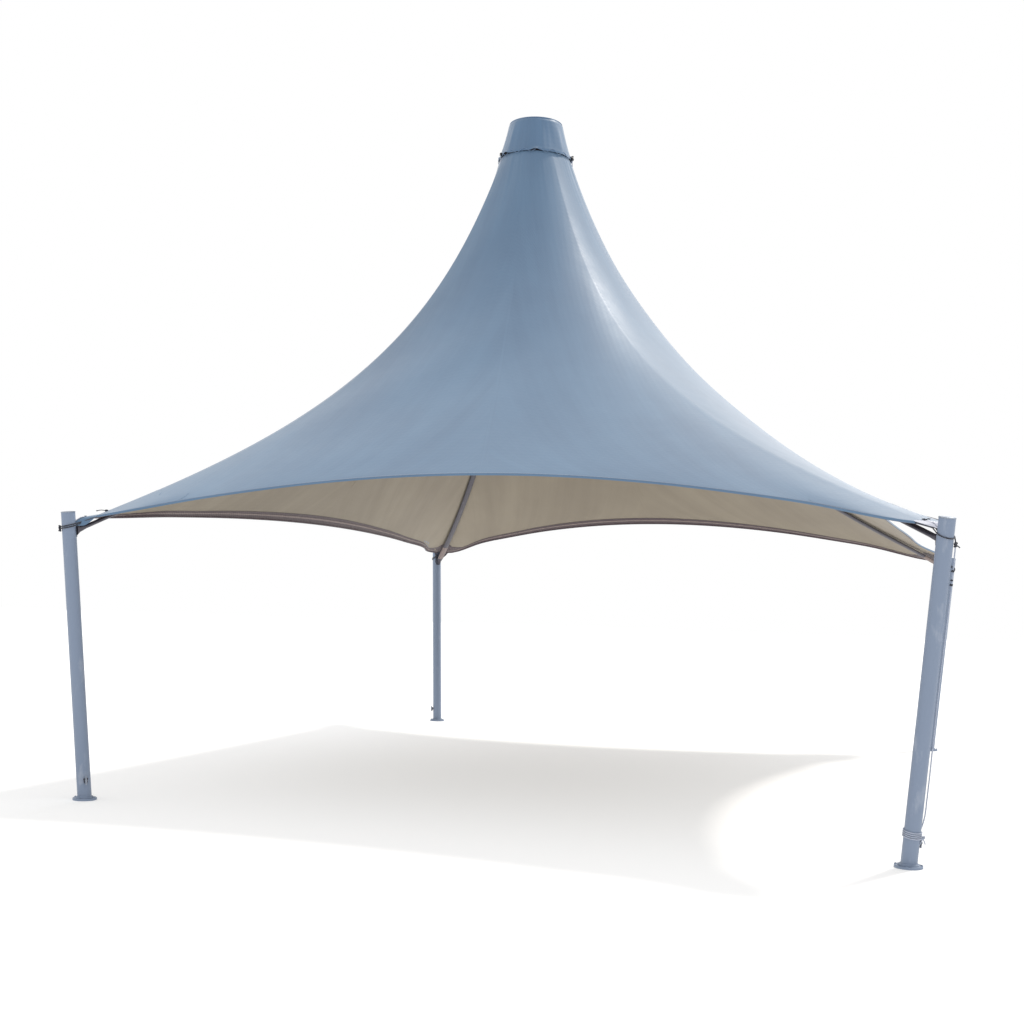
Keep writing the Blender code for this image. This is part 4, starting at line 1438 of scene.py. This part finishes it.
@dataclass
class CornerFittings:
    """What ties each corner of the cloth to its post: tongue, strap, cable and rope."""

    finishes: Finishes
    canopy: Canopy
    plate_thickness: float = 0.010
    plate_length: float = 0.115
    plate_half_width: float = 0.095
    plate_half_tip: float = 0.040
    plate_gap: float = 0.0005
    eye_inset: float = 0.016           # from the plate's tip to its two eyes
    eye_margin: float = 0.014          # from the plate's sides
    tongue_gap: float = 2.5 * MM
    tongue_thickness: float = 2.2 * MM
    tongue_arch: float = 0.018         # at the front right; half as much again elsewhere
    tongue_droop: float = 0.040        # how far its sides hang down, but at the front right
    tongue_turn: float = 0.52          # how far round the post it reaches, each way, in radians
    tongue_end_left: float = 2.328     # how high up the post it ends
    tongue_end_right: float = 2.343
    rope_radius: float = 5.0 * MM
    rope_lay: float = 0.045
    rope_inset: float = 0.012
    lashing_height: float = 2.285
    lashing_rise: float = 0.55
    lead_length: float = 0.048         # from the lashing to its knot at the front right
    cable_radius: float = 0.009
    cable_lay: float = 0.050
    tie_lay: float = 0.030
    strap_width: float = 0.050
    strap_thickness: float = 2.2 * MM

    @property
    def level(self) -> float:
        """Height of the tongue's underside over the plate's middle."""
        return self.plate_thickness / 2.0 + self.tongue_gap

    def eye(self, side: float, height: float = 0.0) -> Vector:
        """An eye of the plate, on one side or the other, in the plate's own place."""
        beside = self.plate_half_tip - self.eye_margin
        return Vector((self.plate_length - self.eye_inset, side * beside, height))

    def arch(self, corner: Corner) -> float:
        """How far the tongue's middle stands over its sides."""
        return self.tongue_arch * (1.0 if corner is Corner.FRONT_RIGHT else 1.5)

    def plate_place(self, corner: Corner) -> Matrix:
        """The middle of the plate's inner edge, X outward along the hip and Z out of the cloth."""
        column = self.canopy.hip_column(corner)
        fine = self.canopy.net.fine
        net = self.canopy.grid
        tip = Vector(net[-1, column])
        outward = tip - Vector(net[-1 - fine, column])
        side = corner.turn.to_3x3() @ Vector((0.0, 1.0, 0.0))
        outward -= side * outward.dot(side)
        outward.normalize()
        up = outward.cross(side)
        if up.z < 0.0:
            up = -up
        origin = tip - up * self.canopy.solid_thickness / 2.0 + outward * self.plate_gap
        return axes_place(outward, up.cross(outward), up, origin)

    def tongue_end(self, corner: Corner) -> float:
        """How high up the post the tongue and the strap meet it."""
        return self.tongue_end_left if corner.on_left else self.tongue_end_right

    def tongue(self, corner: Corner, place: Matrix) -> None:
        """The cloth's corner, drawn out over the plate and arched; at the front right it takes the strap's
        near-white, painted sunlight, in place of the blue cloth.
        """
        hip, fine = self.canopy.hip_column(corner), self.canopy.net.fine
        post = LAYOUT.post_place(corner)
        reach = LAYOUT.post_radius + 0.003
        webbing = corner is Corner.FRONT_RIGHT
        droop = 0.0 if webbing else self.tongue_droop
        lines = []
        for share in np.linspace(-1.0, 1.0, 21):
            middle, rim, turn = 1.0 - share ** 2, share ** 6, self.tongue_turn * share
            lines.append(smooth_path([
                self.canopy.on_cloth(hip + fine * 0.97 * share, 0.035, 2.0 * MM),
                place @ Vector((0.006, (self.plate_half_width + 0.008) * share,
                                self.level + 0.006 * middle - 0.12 * droop * rim)),
                place @ Vector((self.plate_length - 0.007, (self.plate_half_tip + 0.014) * share,
                                self.level + self.arch(corner) * middle - droop * rim)),
                post @ Vector((-reach * math.cos(turn), reach * math.sin(turn),
                               self.tongue_end(corner) - droop * rim)),
            ], 7))
        grid = np.array(lines).transpose(1, 0, 2)
        outer = grid + np.array(place.col[2][:3]) * self.tongue_thickness
        shape = Shape()
        shape.add_sheet(outer, grid, grid_marks(grid), 0, 1)
        # The front right takes the pale strap finish: painted sunlight on this corner.
        finish = self.finishes.strap if webbing else self.finishes.outer_cloth
        shape.piece("corner_tongue_" + corner.label, (finish, self.finishes.hem), "canopy_fabric")

    def cable(self, corner: Corner, place: Matrix) -> None:
        """The thick dark cable from the plate's tip to the post, under the strap."""
        post = LAYOUT.post_place(corner)
        start = place @ Vector((self.plate_length - 0.004, 0.0, -0.001))
        end = post @ Vector((-LAYOUT.post_radius - self.cable_radius * 0.9, 0.0,
                             self.tongue_end(corner) - 0.025))
        sag = start.lerp(end, 0.5) - Vector((0.0, 0.0, 0.003))
        shape = Shape()
        shape.add_tube(smooth_path([start, sag, end], 8), self.cable_radius, 14, 0, self.cable_lay)
        edge = self.plate_thickness / 2.0
        ring = ((0.006, edge + 0.002), (0.010, edge + 0.003), (0.0135, edge + 0.0015),
                (0.014, -edge - 0.0015), (0.010, -edge - 0.003), (0.006, -edge - 0.002))
        for side in (-1.0, 1.0):
            shape.add_turned(ring, 20, 1, place @ Matrix.Translation(self.eye(side)))
        finishes = (self.finishes.dark_rope, self.finishes.dark_steel)
        shape.piece("corner_cable_" + corner.label, finishes, "dark_rope")

    def on_post(self, turn: float, start: float, radius: float, rise: float) -> Vector:
        """A point of the rope on the post, higher towards the plate."""
        share = (1.0 - math.cos(turn)) / (1.0 - math.cos(start))
        return Vector((radius * math.cos(turn), radius * math.sin(turn), self.lashing_height + rise * share))

    def lashing(self, corner: Corner, place: Matrix) -> Vector:
        """The rope from the plate round the post and back, with its knot.

        It goes round once at the front right and twice at the other corners.

        Args:
            corner: the corner that it ties.
            place: the plate's place.

        Returns:
            The middle of the knot.
        """
        post = LAYOUT.post_place(corner)
        back = post.inverted()
        radius = LAYOUT.post_radius + self.rope_radius
        once = corner is Corner.FRONT_RIGHT
        shape = Shape()
        for number in range(1 if once else 2):
            ends = [back @ place @ self.eye(side, -number * self.rope_radius) for side in (-1.0, 1.0)]
            start = math.atan2(ends[1].y, ends[1].x) - math.acos(radius / math.hypot(ends[1].x, ends[1].y))
            rise = (ends[0].z - self.rope_inset - self.lashing_height) * self.lashing_rise
            drop = Vector((0.0, 0.0, (3.0 * number - 0.5) * self.rope_radius))
            turns = [self.on_post(start * (step / 20.0 - 1.0), start, radius, rise) - drop
                     for step in range(41)]
            path = smooth_path([ends[0], *turns, ends[1]], 4)
            shape.add_tube(path, self.rope_radius, 14, 0, self.rope_lay, post)
        knot_turn = math.radians(-16.0 if corner.on_left else 56.0)
        knot = self.on_post(knot_turn, start, radius + 0.010, rise)
        if once:
            lead = [self.on_post(knot_turn, start, radius, rise),
                    knot - Vector((0.006, 0.0, self.lead_length / 2.0)),
                    knot - Vector((0.0, 0.0, self.lead_length))]
            shape.add_tube(smooth_path(lead, 5), self.rope_radius, 12, 0, self.rope_lay, post)
            knot.z -= self.lead_length
        turn = Matrix.Rotation(knot_turn, 4, "Z") @ FACING_OUT
        for size, lower in (((0.019, 0.0),) if once else ((0.016, 0.0), (0.016, 0.022))):
            spot = Matrix.Translation(knot - Vector((0.0, 0.0, lower)))
            shape.add_knot(size, self.rope_radius * 0.92, post @ spot @ turn, lay=self.rope_lay)
        tip = np.full(33, self.rope_radius * 0.85)
        tip[-3:] *= (1.15, 1.1, 0.6)
        tail_top = knot.z - (0.0 if once else 0.020)
        for sway, length in ((0.9, 0.034), (-0.5, 0.026)):
            tail = [(knot.x + 0.008 * math.sin(share * 2.2), knot.y + sway * length * share,
                     tail_top - 0.5 * length * share) for share in np.linspace(0.0, 1.0, 9)]
            shape.add_tube(smooth_path(tail, 4), tip, 10, 0, self.rope_lay, post)
        piece = shape.piece("rope_lashing_" + corner.label, (self.finishes.dark_rope,), "dark_rope")
        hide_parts("lashing_" + corner.label)
        return post @ knot

    def strap(self, corner: Corner, place: Matrix) -> None:
        """The webbing from the tongue to the post's inner side, near-white with painted sunlight."""
        level = self.level + self.tongue_thickness + 0.001
        path = []
        for x in ((0.012, 0.045, 0.080, 0.108) if corner is Corner.FRONT_RIGHT else (0.082, 0.108)):
            arch = np.interp(x, (0.006, 0.108), (0.006, self.arch(corner)))
            path.append(place @ Vector((x, 0.0, level + arch)))
        path.append(LAYOUT.post_place(corner) @ Vector(
            (-LAYOUT.post_radius - 0.002, 0.0, self.tongue_end(corner) + 0.006)))
        line = smooth_path(path, 5)
        widths = np.linspace(self.strap_width, self.strap_width * 0.82, len(line))
        shape = Shape()
        shape.add_strap(line, np.array(place.col[2][:3]), widths, self.strap_thickness, 6, 0.002)
        shape.piece("corner_strap_" + corner.label, (self.finishes.strap,), "pale_rope")

    def ties(self, corner: Corner, place: Matrix) -> None:
        """The small knots of dark cord on the hip and the tongue, and the bow at the front right."""
        column = self.canopy.hip_column(corner)
        out, side, up = (Vector(place.col[index][:3]) for index in range(3))
        on_hip = Vector(self.canopy.on_cloth(column, 0.115, 0.006))
        on_tongue = place @ Vector((0.070, 0.0, self.plate_thickness / 2.0 + 0.024))
        at_edge = place @ Vector((-0.010, 0.0, 0.016))
        spots = {
            Corner.FRONT_LEFT: ((on_hip, 0.013, (out * 0.075 + up * 0.030,)), (on_tongue, 0.011, ())),
            Corner.FRONT_RIGHT: ((at_edge, 0.012, (side * 0.030 + up * 0.010, -side * 0.026 + up * 0.006)),),
        }.get(corner, ((on_tongue, 0.011, ()),))
        shape = Shape()
        for spot, size, tails in spots:
            shape.add_knot(size, size * 0.34, Matrix.Translation(spot), 36, 8, self.tie_lay)
            for tail in tails:
                middle, end = spot + tail * 0.5 + up * 0.006, spot + tail
                shape.add_tube(smooth_path([spot, middle, end], 6), 0.0032, 8)
                shape.add_knot(0.006, 0.0022, Matrix.Translation(end), 24, 6)
        shape.piece("corner_ties_" + corner.label, (self.finishes.dark_rope,), "dark_rope")

    def build(self) -> dict[Corner, Vector]:
        """Dresses every corner and gives the middles of the knots."""
        knots = {}
        for corner in Corner:
            place = self.plate_place(corner)
            self.tongue(corner, place)
            self.cable(corner, place)
            knots[corner] = self.lashing(corner, place)
            self.strap(corner, place)
            self.ties(corner, place)
        return knots


@dataclass
class TieRope:
    """The pale rope down the front right post, wound round its foot."""

    finishes: Finishes
    radius: float = 0.005
    turns: int = 4
    pitch: float = 0.0135
    lay: float = 0.035
    small_lay: float = 0.030           # of the dark cord's knots
    low: float = 0.215
    start: float = math.radians(62.0)
    slack: float = 0.0075
    lead: float = 0.10
    steps_round: int = 16

    def build(self, knot: Vector) -> None:
        """Makes the rope from the lashing's knot down.

        Args:
            knot: the middle of the front right lashing's knot.
        """
        post = LAYOUT.post_place(Corner.FRONT_RIGHT)
        wrap = LAYOUT.post_radius + self.radius
        high = self.low + self.turns * self.pitch
        stand_off = wrap + self.slack
        top = post.inverted() @ knot
        top.z -= 0.018
        hang = Vector((stand_off * math.cos(self.start), stand_off * math.sin(self.start), high + self.lead))
        path = []
        for share in np.linspace(0.0, 1.0, 17):
            point = top.lerp(hang, share)
            point.y += 0.0035 * math.sin(9.0 * share)
            path.append(point)
        for step in range(1, self.turns * self.steps_round + 1):
            share = step / self.steps_round
            turn = self.start + TAU * share
            path.append((wrap * math.cos(turn), wrap * math.sin(turn), high - self.pitch * share))
        shape = Shape()
        shape.add_tube(smooth_path(path, 4), self.radius, 12, 0, self.lay, post)
        end = Vector(path[-1])
        spot = end + Vector((0.010 * math.cos(self.start), 0.010 * math.sin(self.start), 0.006))
        shape.add_knot(0.015, self.radius * 0.95, post @ Matrix.Translation(spot), 48, 10, self.lay)
        for sway, length in ((0.5, 0.055), (-0.4, 0.075)):
            tail = [(end.x + 0.014 + 0.02 * share * (1.0 - share), end.y + sway * length * share,
                     end.z - length * share * 0.8 + 0.004) for share in np.linspace(0.0, 1.0, 7)]
            shape.add_tube(smooth_path(tail, 4), self.radius * 0.9, 10, 0, self.lay, post)
        piece = shape.piece("tie_rope_line", (self.finishes.pale_rope,), "pale_rope")
        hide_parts("tie_rope_front_right")
        small = Shape()
        for share, size in ((0.086, 0.011), (0.120, 0.009), (0.137, 0.011)):
            spot = Matrix.Translation(top.lerp(hang, share))
            small.add_knot(size, size * 0.32, post @ spot, 36, 8, self.small_lay)
        small.piece("tie_rope_knots", (self.finishes.dark_rope,), "dark_rope")


@dataclass
class Hood:
    """The fabric hood over the crown, gathered at its hem and laced down."""

    finishes: Finishes
    top_radius: float = 0.290
    base_radius: float = 0.391
    base_rise: float = 0.0246          # from the cloth's top edge to the hood's hem
    rise: float = 0.016
    rounding: float = 0.024
    thickness: float = 1.6 * MM
    hem_drop: float = 0.024
    hem_flare: float = 0.005
    hem_band_height: float = 0.024
    fold_depth: float = 0.0045
    folds: tuple[tuple[float, float, float], ...] = (
        (13.0, 0.4, 1.0), (19.0, 2.0, 0.8), (31.0, 1.0, 0.6), (7.0, 3.0, 0.5))
    segments: int = 192
    eyelets: int = 16
    cord_radius: float = 2.8 * MM
    cord_lay: float = 0.030
    seam_radius: float = 0.0042        # of the piping round the lid
    tail_radius: float = 0.0042        # of the cords that hang from the knots
    slits: tuple[float, ...] = (-72.0, -125.0, 35.0, 150.0)    # where the hem lifts, in degrees
    creases: tuple[float, ...] = (-29.0, 61.0, 151.0, -119.0)  # where it folds over the crown's arms
    crease_depth: float = 0.014
    crease_width: float = 0.30         # in radians
    slit_width: float = 0.11
    slit_rise: float = 0.020
    slit_spread: float = 0.012
    knots: tuple[tuple[float, float], ...] = ((6.0, 0.026), (-138.0, 0.016))    # place in degrees, half width
    flat_size: tuple[float, float] = (1.2, 1.2)
    flat_area: float = 1.05

    @property
    def base_height(self) -> float:
        """Height of the hood's hem."""
        return LAYOUT.ring_height + self.base_rise

    def profile(self) -> np.ndarray:
        """Radius and height from the hem up to the middle of the lid."""
        shoulder = LAYOUT.peak_height - self.rise
        points = [(self.base_radius + self.hem_flare * flare, self.base_height - self.hem_drop * drop)
                  for flare, drop in ((1.0, 1.0), (0.8, 0.6), (0.35, 0.1))]
        for share in np.linspace(0.04, 0.93, 22):
            radius = self.base_radius + (self.top_radius - self.base_radius) * share
            radius -= 0.006 * math.sin(math.pi * share)
            points.append((radius, self.base_height + (shoulder - self.base_height) * share))
        centre = (self.top_radius - self.rounding, shoulder - self.rounding)
        for step in range(9):
            angle = math.radians(10.0 + 80.0 * step / 8.0)
            points.append((centre[0] + self.rounding * math.cos(angle),
                           centre[1] + self.rounding * math.sin(angle)))
        for share in np.linspace(0.12, 1.0, 10):
            radius = (self.top_radius - self.rounding) * (1.0 - share)
            points.append((max(radius, 0.001), shoulder + self.rise * (1.0 - (1.0 - share) ** 2)))
        return np.array(points)

    def off(self, angles: np.ndarray, middle: float) -> np.ndarray:
        """How far each angle is from one given in degrees, either way."""
        return (angles - math.radians(middle) + math.pi) % TAU - math.pi

    def marks(self, heights: np.ndarray) -> np.ndarray:
        """Texture places round the hood, one row for each height."""
        return band_marks(self.base_radius * TAU * np.arange(self.segments + 1) / self.segments, heights)

    def skin(self) -> np.ndarray:
        """The hood's outer face, row by row from the hem up, folded, creased and lifted at its slits."""
        profile = self.profile()
        angles = TAU * np.arange(self.segments) / self.segments
        radius, height = (np.repeat(profile[:, which:which + 1], self.segments, axis=1) for which in (0, 1))
        share = np.clip((height - self.base_height) / (LAYOUT.peak_height - self.base_height), 0.0, 1.0)
        depth = np.sin(math.pi * np.clip(share * 1.15, 0.0, 1.0)) * 0.7 + 0.3 * bell(share, 0.2)
        radius = radius + self.fold_depth * waves(angles, self.folds) * depth * 0.5
        swell = np.sin(math.pi * np.clip(share * 0.86 + 0.12, 0.0, 1.0))
        for crease in self.creases:
            ridge = np.maximum(0.0, 1.0 - np.abs(self.off(angles, crease)) / self.crease_width)
            radius = radius + self.crease_depth * ridge * swell
        lifted = sum(bell(self.off(angles, slit), self.slit_width) for slit in self.slits)
        hem = bell(np.arange(len(profile)), 2.2)[:, None]
        height = height + hem * lifted * self.slit_rise
        radius = radius + hem * lifted * self.slit_spread
        return np.stack([radius * np.cos(angles), radius * np.sin(angles), height], axis=2)

    def build(self) -> None:
        """Makes the hood, its piping, hem, lacing and toggles."""
        place = LAYOUT.crown_place()
        outer = self.skin()
        inner = outer + Canopy.find_normals(outer) * self.thickness
        shape = Shape()
        shape.add_sheet(outer[::-1], inner[::-1], self.marks(self.profile()[:, 1])[::-1], 0, 1, True, place)
        # The hood's inside takes the dark hem finish as painted shade, which shows in the slits under the
        # hem.
        piece = shape.piece("hood_cover", (self.finishes.hood_cloth, self.finishes.hem), "hood_fabric", 60.0)
        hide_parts("hood")
        lacing = self.lacing(place)
        trims = [self.piping(place), self.hem_band(outer, place), lacing, self.toggles(place)]

    def piping(self, place: Matrix) -> bpy.types.Object:
        """The corded seam round the lid."""
        ring = ring_path(self.top_radius - 0.0055, LAYOUT.peak_height - self.rise - 0.0035, 144)
        shape = Shape()
        shape.add_tube(ring, self.seam_radius, 8, place=place)
        return shape.piece("hood_piping", (self.finishes.blue_rope,), "hood_fabric")

    def hem_band(self, outer: np.ndarray, place: Matrix) -> bpy.types.Object:
        """The webbing sewn round the hood's hem."""
        low = outer[0:3]
        outward = unit(low * (1.0, 1.0, 0.0))
        marks = self.marks(np.linspace(0.0, self.hem_band_height, 3))
        shape = Shape()
        outer_face, inner_face = (low + outward * lift for lift in (2.2 * MM, 0.2 * MM))
        shape.add_sheet(outer_face[::-1], inner_face[::-1], marks[::-1], around=True, place=place)
        return shape.piece("hood_hem", (self.finishes.hood_cloth,), "hood_fabric")

    def lacing(self, place: Matrix) -> bpy.types.Object:
        """The cord that zigzags between the hood's hem and the cloth's top edge."""
        path = []
        for index in range(self.eyelets * 2 + 1):
            angle = TAU * index / (self.eyelets * 2)
            high = index % 2 == 0
            height = self.base_height + (0.006 if high else -0.040)
            radius = self.base_radius + (0.007 if high else 0.012)
            path.append((radius * math.cos(angle), radius * math.sin(angle), height))
        shape = Shape()
        shape.add_tube(smooth_path(path, 6), self.cord_radius, 10, 0, self.cord_lay, place)
        piece = shape.piece("hood_lacing_cord", (self.finishes.blue_rope,), "pale_rope")
        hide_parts("hood_lacing")
        return piece

    def toggles(self, place: Matrix) -> bpy.types.Object:
        """The black toggle on the hood's right, with its short tail, and the bow on its left."""
        shape = Shape()
        for degrees, size in self.knots:
            angle, radius = math.radians(degrees), self.base_radius + 0.014
            turn = Matrix.Rotation(angle, 4, "Z")
            spot = turn @ Matrix.Translation((radius, 0.0, self.base_height - 0.004))
            shape.add_knot(size, size * 0.36, place @ spot @ FACING_OUT, 40, 10)
            tail = [((radius + 0.006) * math.cos(angle + 0.03 * share),
                     (radius + 0.006) * math.sin(angle + 0.03 * share),
                     self.base_height - 0.008 - 0.10 * share) for share in np.linspace(0.0, 1.0, 7)]
            shape.add_tube(smooth_path(tail, 3), self.tail_radius, 8, 1, self.cord_lay, place)
        return shape.piece("hood_toggles", (self.finishes.nylon, self.finishes.pale_rope), "dark_rope")


@dataclass
class FrameFinishes:
    """Gives the frame's own nodes that stay in view their finishes."""

    finishes: Finishes

    def build(self) -> None:
        """Sets the material of every node that is still shown."""
        by_start = {
            "post_": self.finishes.post_steel,
            "base_flange_": self.finishes.post_steel,
            "tie_cleat_": self.finishes.zinc,
            "corner_plate_": self.finishes.dark_steel,
            "crown_frame": self.finishes.rafter_steel,
        }
        for name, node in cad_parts.items():
            for start, finish in by_start.items():
                if name.startswith(start):
                    for slot in node.material_slots:
                        slot.material = finish
                    log.info("%s: %s", name, finish.name)


@dataclass
class Studio:
    """The pale floor, the soft light and the camera."""

    camera_place: tuple[float, float, float] = (3.5507, -13.6240, 1.8095)
    yaw: float = math.radians(-18.401)
    pitch: float = math.radians(3.490)
    roll: float = math.radians(1.478)
    focal_pixels: float = 1335.85
    sensor: float = 36.0
    sun_from: tuple[float, float, float] = (1.05, 1.43, 2.66)
    sun_strength: float = 2.1
    sun_spread: float = math.radians(6.0)
    sun_colour: tuple[float, float, float] = (1.0, 0.95, 0.88)
    box_place: tuple[float, float, float] = (7.5, 14.5, 10.0)
    box_target: tuple[float, float, float] = (-0.8, 0.0, 3.5)
    box_size: tuple[float, float] = (12.0, 6.0)
    box_power: float = 430.0
    floor_half: float = 60.0
    floor_level: float = -0.001

    def camera(self) -> None:
        """Puts the camera where the photograph was taken from."""
        flat = math.cos(self.pitch)
        forward = Vector((math.sin(self.yaw) * flat, math.cos(self.yaw) * flat, math.sin(self.pitch)))
        level = Vector((math.cos(self.yaw), -math.sin(self.yaw), 0.0))
        upright = level.cross(forward)
        right = level * math.cos(self.roll) + upright * math.sin(self.roll)
        up = upright * math.cos(self.roll) - level * math.sin(self.roll)
        data = bpy.data.cameras.new("camera")
        data.sensor_width = self.sensor
        data.lens = self.focal_pixels / IMAGE_SIZE * self.sensor
        data.clip_end = 200.0
        camera = bpy.data.objects.new("camera", data)
        camera.matrix_world = axes_place(right, up, -forward, self.camera_place)
        bpy.context.scene.collection.objects.link(camera)
        bpy.context.scene.camera = camera

    def lamp(self, name: str, kind: str, towards: Vector, **settings) -> bpy.types.Object:
        """Adds a lamp.

        Args:
            name: the lamp's name.
            kind: the type of lamp.
            towards: the way from what it lights to the lamp.
            settings: the lamp's own properties.

        Returns:
            The new lamp.
        """
        data = bpy.data.lights.new(name, kind)
        for key, value in settings.items():
            setattr(data, key, value)
        lamp = bpy.data.objects.new(name, data)
        lamp.rotation_euler = towards.to_track_quat("Z", "Y").to_euler()
        bpy.context.scene.collection.objects.link(lamp)
        return lamp

    def light(self) -> None:
        """White surroundings, a soft sun from behind on the right and a softbox further behind."""
        scene = bpy.context.scene
        scene.view_settings.view_transform = "Standard"
        world = bpy.data.worlds.new("studio")
        world.use_nodes = True
        connect(world.node_tree, world.node_tree.nodes["Background"],
                {"Color": (1.0, 1.0, 1.0, 1.0), "Strength": 1.0})
        scene.world = world
        self.lamp("sun", "SUN", Vector(self.sun_from), energy=self.sun_strength, angle=self.sun_spread,
                  color=self.sun_colour)
        box = self.lamp(
            "softbox", "AREA", Vector(self.box_place) - Vector(self.box_target), energy=self.box_power,
            shape="RECTANGLE", size=self.box_size[0], size_y=self.box_size[1])
        box.location = self.box_place
        box.visible_camera = False

    def floor(self) -> None:
        """A plain pale floor that fades into the background."""
        mesh = bpy.data.meshes.new("floor")
        half, level = self.floor_half, self.floor_level
        corners = [(-half, -half, level), (half, -half, level), (half, half, level), (-half, half, level)]
        mesh.from_pydata(corners, [], [(0, 1, 2, 3)])
        mesh.materials.append(MattPaint("matt_paint_floor", "d0d0d0").make())
        floor = bpy.data.objects.new("floor", mesh)
        bpy.context.scene.collection.objects.link(floor)

    def build(self) -> None:
        """Sets the studio up."""
        self.camera()
        self.light()
        self.floor()


def main() -> None:
    """Builds the gazebo's looks in order and reports each piece."""
    logging.basicConfig(level=logging.INFO, format="%(message)s", stream=sys.stdout)
    finishes = Finishes()
    canopy = Canopy(finishes)
    canopy.build()
    Rafters(finishes, canopy).build()
    Posts(finishes).build()
    knots = CornerFittings(finishes, canopy).build()
    TieRope(finishes).build(knots[Corner.FRONT_RIGHT])
    Hood(finishes).build()
    FrameFinishes(finishes).build()
    Studio().build()


if __name__ == "__main__":
    main()
